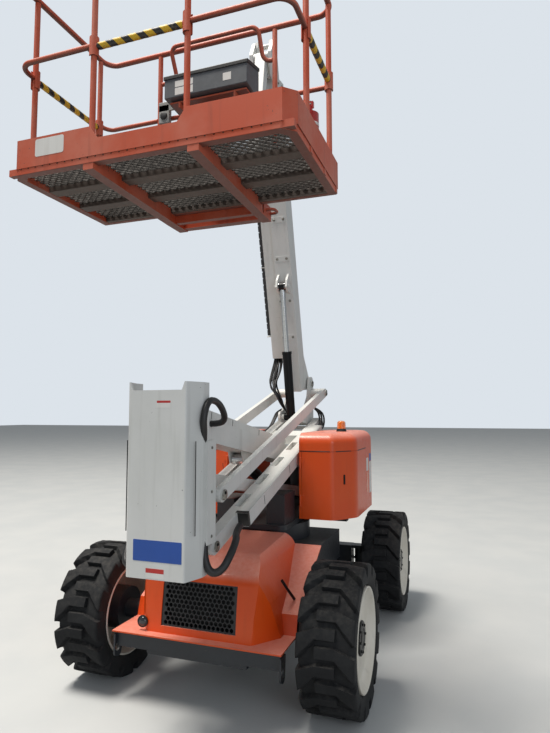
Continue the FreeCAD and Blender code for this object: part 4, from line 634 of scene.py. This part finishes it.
clamps = [boxShape((-0.226, -0.214, z), (-0.082, -0.140, z + 0.007)) for z in (0.505, 1.150, 1.900, 2.556)]
points, faces = joined(clamps)
piece = bevelled(addMesh("chainClamps", leaned(points), faces, boomWhite, 30), 0.0012)
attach(piece, "main_boom")
print("boom dressed")


# Pins: a round head and a bolt beside it on each side of a joint

pins = (
    ("knuckle", (0.218, -1.440, 1.020), 0.0250, 1), ("knuckle", (0.264, -1.440, 1.310), 0.0250, 1),
    ("tower", (0.264, 0.895, 1.960), 0.0250, -1), ("tower", (0.218, 0.895, 1.670), 0.0250, -1),
    ("tower", (0.126, 0.895, 2.050), 0.0250, 1), ("tower", (0.118, 0.592, 1.733), 0.0220, 1),
    ("turntable", (0.128, 0.780, 1.324), 0.0250, 1), ("turntable", (0.128, 0.780, 1.024), 0.0250, 1),
)
rings, keepers = {}, {}
for body, spot, radius, up in pins:
    for side in (-1, 1):
        place = np.array(spot) * [side, 1, 1]
        rings.setdefault(body, []).append(discShape(place - [side * 0.0035, 0, 0], (side, 0, 0), radius + 0.006, 0.0045))
        bolt = place + [side * 0.001, 0, up * (radius * 0.45)]
        keepers.setdefault(body, []).append(boltHead(bolt, (side, 0, 0), 0.0075, 0.005, 0.010))
for body, parts in rings.items():
    points, faces = joined(parts)
    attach(addMesh("pinHeads_" + body, points, faces, zincBolt, 30), body)
    points, faces = joined(keepers[body])
    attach(addMesh("pinBolts_" + body, points, faces, barrelBlack, 30), body)
print("pins headed")


# Blank plates and labels, each a thin sheet with rounded corners

def sheetShape(across, up, thick, corner=0.004, steps=5):
    # A flat plate in the XZ plane, its outline an arc of the corner radius at each corner.
    centres = ((across[1] - corner, up[1] - corner, 0), (across[0] + corner, up[1] - corner, 90),
               (across[0] + corner, up[0] + corner, 180), (across[1] - corner, up[0] + corner, 270))
    outline = [(x + corner * math.cos(math.radians(start + 90 * k / steps)),
                z + corner * math.sin(math.radians(start + 90 * k / steps)))
               for x, z, start in centres for k in range(steps + 1)]
    count = len(outline)
    points = np.array([(x, y, z) for y in (0.0, -thick) for x, z in outline])
    sides = [[k, (k + 1) % count, count + (k + 1) % count, count + k] for k in range(count)]
    return points, sides + [list(range(count))[::-1], list(range(count, 2 * count))]


def onSide(shape, x, side):
    # The plate laid on a wall that faces along X: its across becomes y.
    points, faces = shape
    points = np.asarray(points)
    turned = np.stack([x - side * points[:, 1], points[:, 0], points[:, 2]], -1)
    return turned, faces


labels = (
    ("numberPlateBlank", "knuckle", sheetShape((-0.132, 0.160), (0.992, 1.102), 0.0012), (0, -1.7500, 0), blankBlue),
    ("topLabelRed", "knuckle", sheetShape((0.000, 0.083), (1.826, 1.838), 0.0006, 0.001), (0, -1.7500, 0), blankRed),
    ("topLabelWhite", "knuckle", sheetShape((0.000, 0.083), (1.800, 1.8255), 0.0006, 0.001), (0, -1.7500, 0), blankWhite),
    ("lowLabelRed", "knuckle", sheetShape((-0.053, 0.056), (0.934, 0.957), 0.0006, 0.001), (0, -1.7500, 0), blankRed),
    ("lowLabelWhite", "knuckle", sheetShape((-0.053, 0.056), (0.906, 0.9335), 0.0006, 0.001), (0, -1.7500, 0), blankWhite),
    ("signBlank", "platform", sheetShape((-0.664, -0.470), (3.196, 3.296), 0.0010, 0.012), (0, -1.9800, 0), blankWhite),
)
for label, body, (points, faces), place, material in labels:
    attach(addMesh(label, np.asarray(points) + place, faces, material, 30), body)
sideLabels = (
    ("cowlLabelUpper", (0.455, 0.545), (1.270, 1.380), blankWhite),
    ("cowlReflector", (0.470, 0.530), (1.085, 1.255), reflexOrange),
    ("cowlLabelLong", (0.590, 0.680), (1.070, 1.340), blankWhite),
    ("cowlLabelTop", (0.590, 0.680), (1.345, 1.410), blankBlue),
)
for label, across, up, material in sideLabels:
    for side in (-1, 1):
        points, faces = onSide(sheetShape(across, up, 0.0008, 0.004), side * 0.7200, side)
        if side < 0:
            faces = [face[::-1] for face in faces]
        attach(addMesh("%s_%d" % (label, side), points, faces, material, 30), "turntable")
print("labels laid")


# Hoses: each a smooth line through its points, swept into a tube

def hoseMesh(name, points, radius, material):
    # A NURBS curve of order 3 with round section, kept as a mesh.
    curve = bpy.data.curves.new(name, "CURVE")
    curve.dimensions = "3D"
    curve.bevel_depth = radius
    curve.bevel_resolution = 5
    curve.resolution_u = 12
    spline = curve.splines.new("NURBS")
    spline.points.add(len(points) - 1)
    spline.points.foreach_set("co", np.concatenate([np.array(points, float), np.ones((len(points), 1))], 1).ravel())
    spline.order_u = 3
    spline.use_endpoint_u = True
    carrier = bpy.data.objects.new(name + "Path", curve)
    bpy.context.scene.collection.objects.link(carrier)
    bpy.context.view_layer.update()
    mesh = bpy.data.meshes.new_from_object(carrier.evaluated_get(bpy.context.evaluated_depsgraph_get()))
    bpy.data.objects.remove(carrier)
    mesh.materials.clear()
    mesh.materials.append(material)
    mesh.polygons.foreach_set("use_smooth", np.ones(len(mesh.polygons), bool))
    piece = bpy.data.objects.new(name, mesh)
    bpy.context.scene.collection.objects.link(piece)
    return piece


hoses = {"loop": 0.021, "arc": 0.019, "line": 0.0085}
for side in (-1, 1):
    word = "right" if side > 0 else "left"
    route = [(0.205, -1.560, 1.150), (0.207, -1.585, 1.080), (0.215, -1.600, 0.990), (0.250, -1.600, 0.915),
             (0.305, -1.570, 0.925), (0.330, -1.510, 1.000), (0.318, -1.400, 1.060), (0.262, -1.290, 1.066),
             (0.245, -1.180, 1.090)]
    piece = hoseMesh("hoseLoop_" + word, [(side * x, y, z) for x, y, z in route], hoses["loop"], hoseRubber)
    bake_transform(piece)
arcs = {
    "near": [(0.188, -1.560, 1.500), (0.190, -1.575, 1.590), (0.222, -1.628, 1.665), (0.236, -1.668, 1.745),
             (0.236, -1.615, 1.840), (0.234, -1.510, 1.842), (0.232, -1.420, 1.800), (0.222, -1.352, 1.735),
             (0.160, -1.300, 1.705), (0.060, -1.270, 1.705)],
    "far": [(0.152, -1.575, 1.600), (0.152, -1.590, 1.690), (0.156, -1.602, 1.800), (0.152, -1.530, 1.874),
            (0.112, -1.450, 1.862), (0.052, -1.390, 1.790), (0.024, -1.330, 1.745)],
}
for label, route in arcs.items():
    piece = hoseMesh("hoseArc_" + label, route, hoses["arc"], hoseRubber)
    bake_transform(piece)
drops = np.random.default_rng(5)
for k in range(7):
    shift = drops.uniform(-1, 1, (3, 3)) * [0.020, 0.028, 0.030]
    x = -0.100 - 0.012 * k
    route = [(x, 0.648, 2.330), (x, 0.636, 2.270), (x - 0.020, 0.585, 2.150), (x * 0.8 - 0.05, 0.520, 2.020),
             (-0.085 + 0.1 * (x + 0.13), 0.520, 1.900), (-0.072, 0.600, 1.810), (-0.066, 0.720, 1.760),
             (-0.060, 0.830, 1.740)]
    route = np.array(route)
    route[2:5] += shift
    piece = hoseMesh("boomHose_%d" % k, route, hoses["line"], hoseRubber)
    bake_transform(piece)
for side in (-1, 1):
    for k in range(3):
        x = side * (0.228 + 0.017 * k)
        route = [(x, 0.560, 1.580), (x, 0.640, 1.603), (x + side * 0.006, 0.720 + 0.02 * k, 1.640),
                 (x - side * 0.006, 0.790 + 0.02 * k, 1.720), (x - side * 0.040, 0.840, 1.790),
                 (side * 0.120, 0.870, 1.830)]
        piece = hoseMesh("towerHose_%d_%d" % (side, k), route, hoses["line"], hoseRubber)
        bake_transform(piece)
print("hoses run")


# Straps over the hose trays, and the oval plug and screws of the knuckle

def onBar(first, last, run, rise):
    # A point at a run along a bar between two pins and a rise square to it.
    a, b = np.array(first), np.array(last)
    along = (b - a) / np.linalg.norm(b - a)
    return a + along * run + np.array([-along[1], along[0]]) * rise


def slantedBox(x, first, last, runs, rises):
    # A box between two x values whose other sides lie along a bar.
    corners = [onBar(first, last, runs[i], rises[j]) for i, j in ((0, 0), (1, 0), (1, 1), (0, 1))]
    points = [(a, y, z) for a in x for y, z in corners]
    return np.array(points), [[0, 1, 2, 3], [7, 6, 5, 4], [0, 4, 5, 1], [1, 5, 6, 2], [2, 6, 7, 3], [3, 7, 4, 0]]


armPins = ((-1.440, 1.020), (0.895, 1.670))
boomPins = ((-1.440, 1.692), (0.780, 1.324))
straps = {"upper_arms": [], "lower_boom": []}
for run in (0.62, 1.18, 1.74):
    for side in (-1, 1):
        span = sorted((side * 0.2755, side * 0.2768))
        straps["upper_arms"].append(slantedBox(span, *armPins, (run, run + 0.006), (-0.022, 0.040)))
for run in (0.22, 0.55, 1.05, 1.50):
    for side in (-1, 1):
        span = sorted((side * 0.0575, side * 0.0590))
        straps["lower_boom"].append(slantedBox(span, *boomPins, (run, run + 0.006), (0.072, 0.122)))
for body, parts in straps.items():
    points, faces = joined(parts)
    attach(addMesh("trayStraps_" + body, points, faces, hoseRubber, 30), body)
plug, plugFaces = revolved([(-0.001, 0.0), (-0.001, 0.020), (0.003, 0.020), (0.004, 0.018), (0.0045, 0.0)], 36)
plugs = [(plug.reshape(-1, 3) * [side, 0.7, 1.0] + [side * 0.2115, -1.620, 1.760], plugFaces) for side in (-1, 1)]
points, faces = joined(plugs)
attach(addMesh("knucklePlugs", points, faces, hoseRubber, 30), "knuckle")
screws = [boltHead((side * 0.211, -1.575, z), (side, 0.25, 0), 0.006, 0.004, 0.009) for side in (-1, 1)
          for z in (1.655, 1.040)]
screws += [boltHead((side * 0.232, -1.549, z), (side, 0, 0), 0.006, 0.004, 0.009) for side in (-1, 1)
           for z in (1.100, 1.340, 1.580)]
points, faces = joined(screws)
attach(addMesh("knuckleScrews", points, faces, zincBolt, 30), "knuckle")

# Bonnet: round dark lamp, its rubber rim and smoked lens

lamp = {"spot": (-0.374, -1.262, 0.482), "radius": 0.036}
rim, rimFaces = discShape(lamp["spot"], (0, -1, 0.06), lamp["radius"], 0.010, 48, 0.004)
glass, glassFaces = revolved([(0.008, 0.027), (0.0115, 0.025), (0.0150, 0.018), (0.0170, 0.008), (0.0175, 0.0)], 40)
turn = np.array(Vector((0, -1, 0.06)).normalized().to_track_quat("X", "Z").to_matrix())
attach(addMesh("bonnetLampRim", rim, rimFaces, hoseRubber, 30), "chassis")
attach(addMesh("bonnetLampLens", glass.reshape(-1, 3) @ turn.T + lamp["spot"], glassFaces, darkLens, 50), "chassis")

# Beacon: rubber foot, ribbed amber dome

height = np.linspace(0, 1, 40)
dome = 0.036 * np.sqrt(np.clip(1 - np.clip((height - 0.72) / 0.28, 0, 1) ** 2.4, 0.0, 1))
dome = dome * (1 - 0.05 * height) + 0.0011 * np.abs(np.sin(height * 9 * np.pi)) * (height < 0.75)
profile = np.stack([1.6325 + height * 0.0690, dome], -1)
points, faces = revolved(profile, 72, "Z")
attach(addMesh("beaconDome", points.reshape(-1, 3) + [0.530, 0.350, 0], faces, amberLens, 50), "turntable")
foot = [(1.6100, 0.0), (1.6100, 0.0440), (1.6140, 0.0445), (1.6180, 0.0420), (1.6240, 0.0400), (1.6320, 0.0395),
        (1.6335, 0.0380), (1.6335, 0.0)]
points, faces = revolved(foot, 64, "Z")
piece = addMesh("beaconFoot", points.reshape(-1, 3) + [0.530, 0.350, 0], faces, hoseRubber, 40)
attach(piece, "turntable")
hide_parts("beacon")
print("lamp and beacon made")

# Platform: dark floor bars painted as the shade on the frame's ribs, the closed control console with its lid, and the
# bottle's fittings

# These bars cover the ribs in dark brown: painted shade where their undersides lie in shadow.
ribShadeBars = [boxShape((-0.800, y - wide, 3.1114), (0.800, y + wide, 3.1502))
             for y, wide in ((-1.675, 0.040), (-1.395, 0.040), (-1.125, 0.030))]
points, faces = joined(ribShadeBars)
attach(bevelled(addMesh("floorBarShade", points, faces, paintedShadeBar, 30), 0.003), "platform")
lip = {"out": 0.8465, "in": 0.796, "front": -1.9765, "back": -1.0945, "corner": 0.060, "low": 3.1085, "high": 3.1510}


def lipRing(out, front, back, corner):
    # The platform's outline with its two front corners cut, walked once round.
    return [(-out, back), (-out, front + corner), (-out + corner, front), (out - corner, front), (out, front + corner),
            (out, back)]


outer = lipRing(lip["out"], lip["front"], lip["back"], lip["corner"])
inner = lipRing(lip["in"], lip["front"] + 0.050, lip["back"] - 0.030, lip["corner"] * 0.6)
ring = np.array([(x, y, z) for z in (lip["low"], lip["high"]) for x, y in outer + inner])
count = len(outer)
step = np.arange(count)
turned = (step + 1) % count
faces = np.concatenate([
    np.stack([step, turned, turned + count, step + count], -1)[:, ::-1],
    np.stack([step, turned, turned + count, step + count], -1) + 2 * count,
    np.stack([step, step + 2 * count, turned + 2 * count, turned], -1)[:, ::-1],
    np.stack([step + count, step + 3 * count, turned + 3 * count, turned + count], -1)])
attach(bevelled(addMesh("frameLip", ring, faces, cageOrange, 30), 0.003), "platform")

console = {"x": (-0.238, 0.344), "back": -1.1273, "front": -1.3285, "low": 3.795, "lip": 3.934, "rear": 3.990,
           "over": 0.006, "lid": 0.022}


def prismX(outline, across):
    # An outline in y and z carried straight along x, closed by its two ends.
    count = len(outline)
    points = np.array([(x, y, z) for x in across for y, z in outline])
    sides = [[k, k + count, (k + 1) % count + count, (k + 1) % count] for k in range(count)]
    return points, sides + [list(range(count)), list(range(count, 2 * count))[::-1]]


box = [(console["back"], console["low"]), (console["front"], console["low"] + 0.012),
       (console["front"], console["lip"]), (console["back"], console["rear"])]
points, faces = prismX(box, console["x"])
piece = bevelled(addMesh("consoleBox", points, faces, consolePlastic, 30), 0.004, 3)
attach(piece, "platform")
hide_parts("console")
lid = [(console["front"] - console["over"], console["lip"] - 0.004), (console["back"], console["rear"] - 0.002),
       (console["back"], console["rear"] + console["lid"]),
       (console["front"] - console["over"], console["lip"] + console["lid"])]
points, faces = prismX(lid, (console["x"][0] - 0.006, console["x"][1] + 0.006))
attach(bevelled(addMesh("consoleLid", points, faces, hoseRubber, 30), 0.004, 3), "platform")
shelf = [boxShape((-0.215, -1.292, 3.784), (0.325, -1.128, 3.796)), boxShape((0.240, -1.300, 3.748), (0.252, -1.128, 3.790)),
         boxShape((-0.150, -1.300, 3.748), (-0.138, -1.128, 3.790))]
points, faces = joined(shelf)
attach(bevelled(addMesh("consoleShelf", points, faces, cageOrange, 30), 0.002), "platform")
for label, across, up in (("consoleLabelUpper", (-0.160, -0.030), (3.872, 3.912)),
                          ("consoleLabelLower", (-0.160, -0.030), (3.818, 3.866)),
                          ("consoleLabelSmall", (0.180, 0.236), (3.846, 3.896))):
    points, faces = sheetShape(across, up, 0.0006, 0.002)
    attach(addMesh(label, points + [0, console["front"] - 0.0001, 0], faces, blankWhite, 30), "platform")
outlet = [boxShape((-0.3832, -1.1600, 3.7500), (-0.3000, -1.1273, 3.9000)),
          boxShape((-0.3832, -1.1600, 3.8300), (-0.2380, -1.1500, 3.8800))]
points, faces = joined(outlet)
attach(bevelled(addMesh("outletBox", points, faces, outletGrey, 30), 0.004, 3), "platform")
points, faces = discShape((-0.3416, -1.1598, 3.800), (0, -1, 0), 0.026, 0.008, 32, 0.003)
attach(addMesh("outletCap", points, faces, hoseRubber, 30), "platform")

bottle = {"x": 0.650, "y": -1.010, "radius": 0.062}
for label, low, high, material in (("bottleLabel", 3.455, 3.600, blankWhite), ("bottleBand", 3.612, 3.632, blankWhite)):
    angle = np.radians(np.linspace(150, 390, 60))
    height = np.array([low, high])
    out = bottle["radius"] + 0.0008
    ring = np.stack(np.broadcast_arrays(bottle["x"] + out * np.cos(angle)[:, None], bottle["y"] + out * np.sin(angle)[:, None],
                                        height[None, :]), -1)
    piece = addMesh(label, ring.reshape(-1, 3), gridFaces(60, 2), material, 60)
    thick = piece.modifiers.new("thickness", "SOLIDIFY")
    thick.thickness = 0.0006
    thick.offset = 0
    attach(piece, "platform")
valve = [boxShape((0.632, -1.024, 3.745), (0.668, -0.996, 3.772)), boxShape((0.556, -1.019, 3.786), (0.664, -1.001, 3.792)),
         boxShape((0.566, -1.017, 3.764), (0.640, -1.003, 3.769))]
points, faces = joined(valve)
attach(bevelled(addMesh("bottleValve", points, faces, zincBolt, 30), 0.002), "platform")
route = [(0.634, -1.012, 3.758), (0.604, -1.030, 3.756), (0.572, -1.052, 3.730), (0.560, -1.062, 3.660),
         (0.566, -1.060, 3.560), (0.578, -1.050, 3.470), (0.584, -1.044, 3.400)]
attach(hoseMesh("bottleHose", route, 0.0085, hoseRubber), "platform")
points, faces = revolved([(3.352, 0.0), (3.352, 0.012), (3.405, 0.0095), (3.412, 0.0085), (3.412, 0.0)], 24, "Z")
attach(addMesh("bottleNozzle", points.reshape(-1, 3) + [0.5843, -1.0437, 0], faces, barrelBlack, 40), "platform")
print("platform dressed")

# Small fittings: grille core, painted shade in the knuckle's side gap and inside the tray ends, cowl latches and seals,
# bonnet latches

grilleLow, grilleHigh = [np.array(corner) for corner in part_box("grille")]
core = boxShape((grilleLow[0] + 0.004, grilleHigh[1] + 0.006, grilleLow[2] + 0.004),
                (grilleHigh[0] - 0.004, grilleHigh[1] + 0.016, grilleHigh[2] - 0.004))
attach(addMesh("radiatorCore", *core, barrelBlack, 30), "chassis")

# Thin black strips on the knuckle's sides: painted shade standing for the dark inside the gap.
gapShades = [boxShape(*sorted(((side * 0.2108, -1.7065, 1.130), (side * 0.2122, -1.6985, 1.622)))) for side in (-1, 1)]
points, faces = joined(gapShades)
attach(addMesh("knuckleGapShade", points, faces, barrelBlack, 30), "knuckle")

mouthsAndShade = []
for side in (-1, 1):
    low, high = sorted((side * 0.196, side * 0.2775))
    for runs, rises in (((0.326, 0.352), (0.0515, 0.0535)), ((0.326, 0.352), (-0.0415, -0.0395))):
        mouthsAndShade.append(slantedBox((low, high), *armPins, runs, rises))
    wall = sorted((side * 0.2758, side * 0.2778))
    mouthsAndShade.append(slantedBox(wall, *armPins, (0.326, 0.352), (-0.0415, 0.0535)))
    # The black sheet set just inside each opening is painted shade for the dark inside of the tray.
    mouthsAndShade.append(slantedBox(sorted((side * 0.206, side * 0.2740)), *armPins, (0.3285, 0.3300), (-0.036, 0.048)))
points, faces = joined(mouthsAndShade)
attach(addMesh("trayMouthsAndShade", points, faces, hoseRubber, 30), "upper_arms")

# Cowl doors: a rubber seal round the lid's edge and a slotted latch on the slanting face
cowl = {"plan": ((0.305, -0.1406), (0.545, -0.1406), (0.592, -0.1130), (0.683, 0.0030), (0.7206, 0.095), (0.7206, 0.428)),
        "top": 1.470, "seal": 0.0035}
for side in (-1, 1):
    word = "right" if side > 0 else "left"
    plan = np.array([(side * x, y) for x, y in cowl["plan"]])
    along = np.arange(len(plan))
    rows = np.stack([np.column_stack([plan, np.full(len(plan), cowl["top"] + rise)])
                     for rise in (-cowl["seal"], cowl["seal"])])
    faces = gridFaces(2, len(plan))
    piece = addMesh("lidSeal_" + word, rows.reshape(-1, 3), faces if side > 0 else faces[:, ::-1], hoseRubber, 60)
    thick = piece.modifiers.new("thickness", "SOLIDIFY")
    thick.thickness = 0.0012
    thick.offset = 0
    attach(piece, "turntable")
    way = np.array([0.785, -0.620])
    centre = np.array([0.640, -0.0520])
    points, faces = onSide(sheetShape((-0.0085, 0.0085), (1.215, 1.290), 0.0016, 0.004), 0.0, 1)
    points = np.asarray(points)
    flat = centre + points[:, :1] * way + points[:, 1:2] * [0.620, 0.785]
    flat = flat + way * 0.0004
    points = np.column_stack([side * flat[:, 0], flat[:, 1], points[:, 2]])
    piece = addMesh("doorLatch_" + word, points, faces if side > 0 else [face[::-1] for face in faces], barrelBlack, 30)
    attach(piece, "door_" + word)

# Bonnet: a rubber toggle latch on each side, from the fender up to the hood
for side in (-1, 1):
    foot = np.array([side * 0.500, -0.905, 0.600])
    top = np.array([side * 0.450, -1.000, 0.735])
    route = [foot, foot * 0.7 + top * 0.3 + [0, -0.010, 0.004], foot * 0.3 + top * 0.7 + [0, -0.010, 0.004], top]
    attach(hoseMesh("bonnetLatch_%d" % side, route, 0.009, hoseRubber), "chassis")

# The main boom's ram: a black cap over the rod's eye
ram = {"eye": (0.0, 0.348, 2.908), "radius": 0.0367, "half": 0.0303}
cap = [(-ram["half"], 0.0225), (-ram["half"], ram["radius"] - 0.004), (-ram["half"] + 0.003, ram["radius"]),
       (ram["half"] - 0.003, ram["radius"]), (ram["half"], ram["radius"] - 0.004), (ram["half"], 0.0225)]
points, faces = revolved(cap, 48)
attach(addMesh("ramEyeCap", points.reshape(-1, 3) + ram["eye"], faces, barrelBlack, 35), "boom_rod")
print("fittings made")


# Floor and finish

# The camera, and what gloss and glass show of it, see a pale floor; the light that comes back up is a darker one's.
floorMaterial, tree = newMaterial("paleConcreteFloor")
cement = addNode(tree, "TexNoise", {"Vector": objectPoint(tree), "Scale": 1.6, "Detail": 8})
patch = ramped(tree, cement.outputs["Fac"], 0.3, 0.7)
lit = blended(tree, patch, linear(light["floor"]), linear(light["floorWorn"]))
shown = blended(tree, patch, linear(light["floorSeen"]), linear(light["floorSeenWorn"]))
rays = addNode(tree, "LightPath")
direct = addNode(tree, "Math", {0: rays.outputs["Is Camera Ray"], 1: rays.outputs["Is Glossy Ray"]},
                 operation="MAXIMUM")
direct = addNode(tree, "Math", {0: direct.outputs[0], 1: rays.outputs["Is Transmission Ray"]}, operation="MAXIMUM")
slab = blended(tree, direct.outputs[0], lit, shown)
finishMaterial(tree, addNode(tree, "BsdfPrincipled", {"Base Color": slab, "Roughness": 0.9}))
floor = addMesh("floor", [[-60, -60, 0], [60, -60, 0], [60, 60, 0], [-60, 60, 0]], [[0, 1, 2, 3]], floorMaterial)
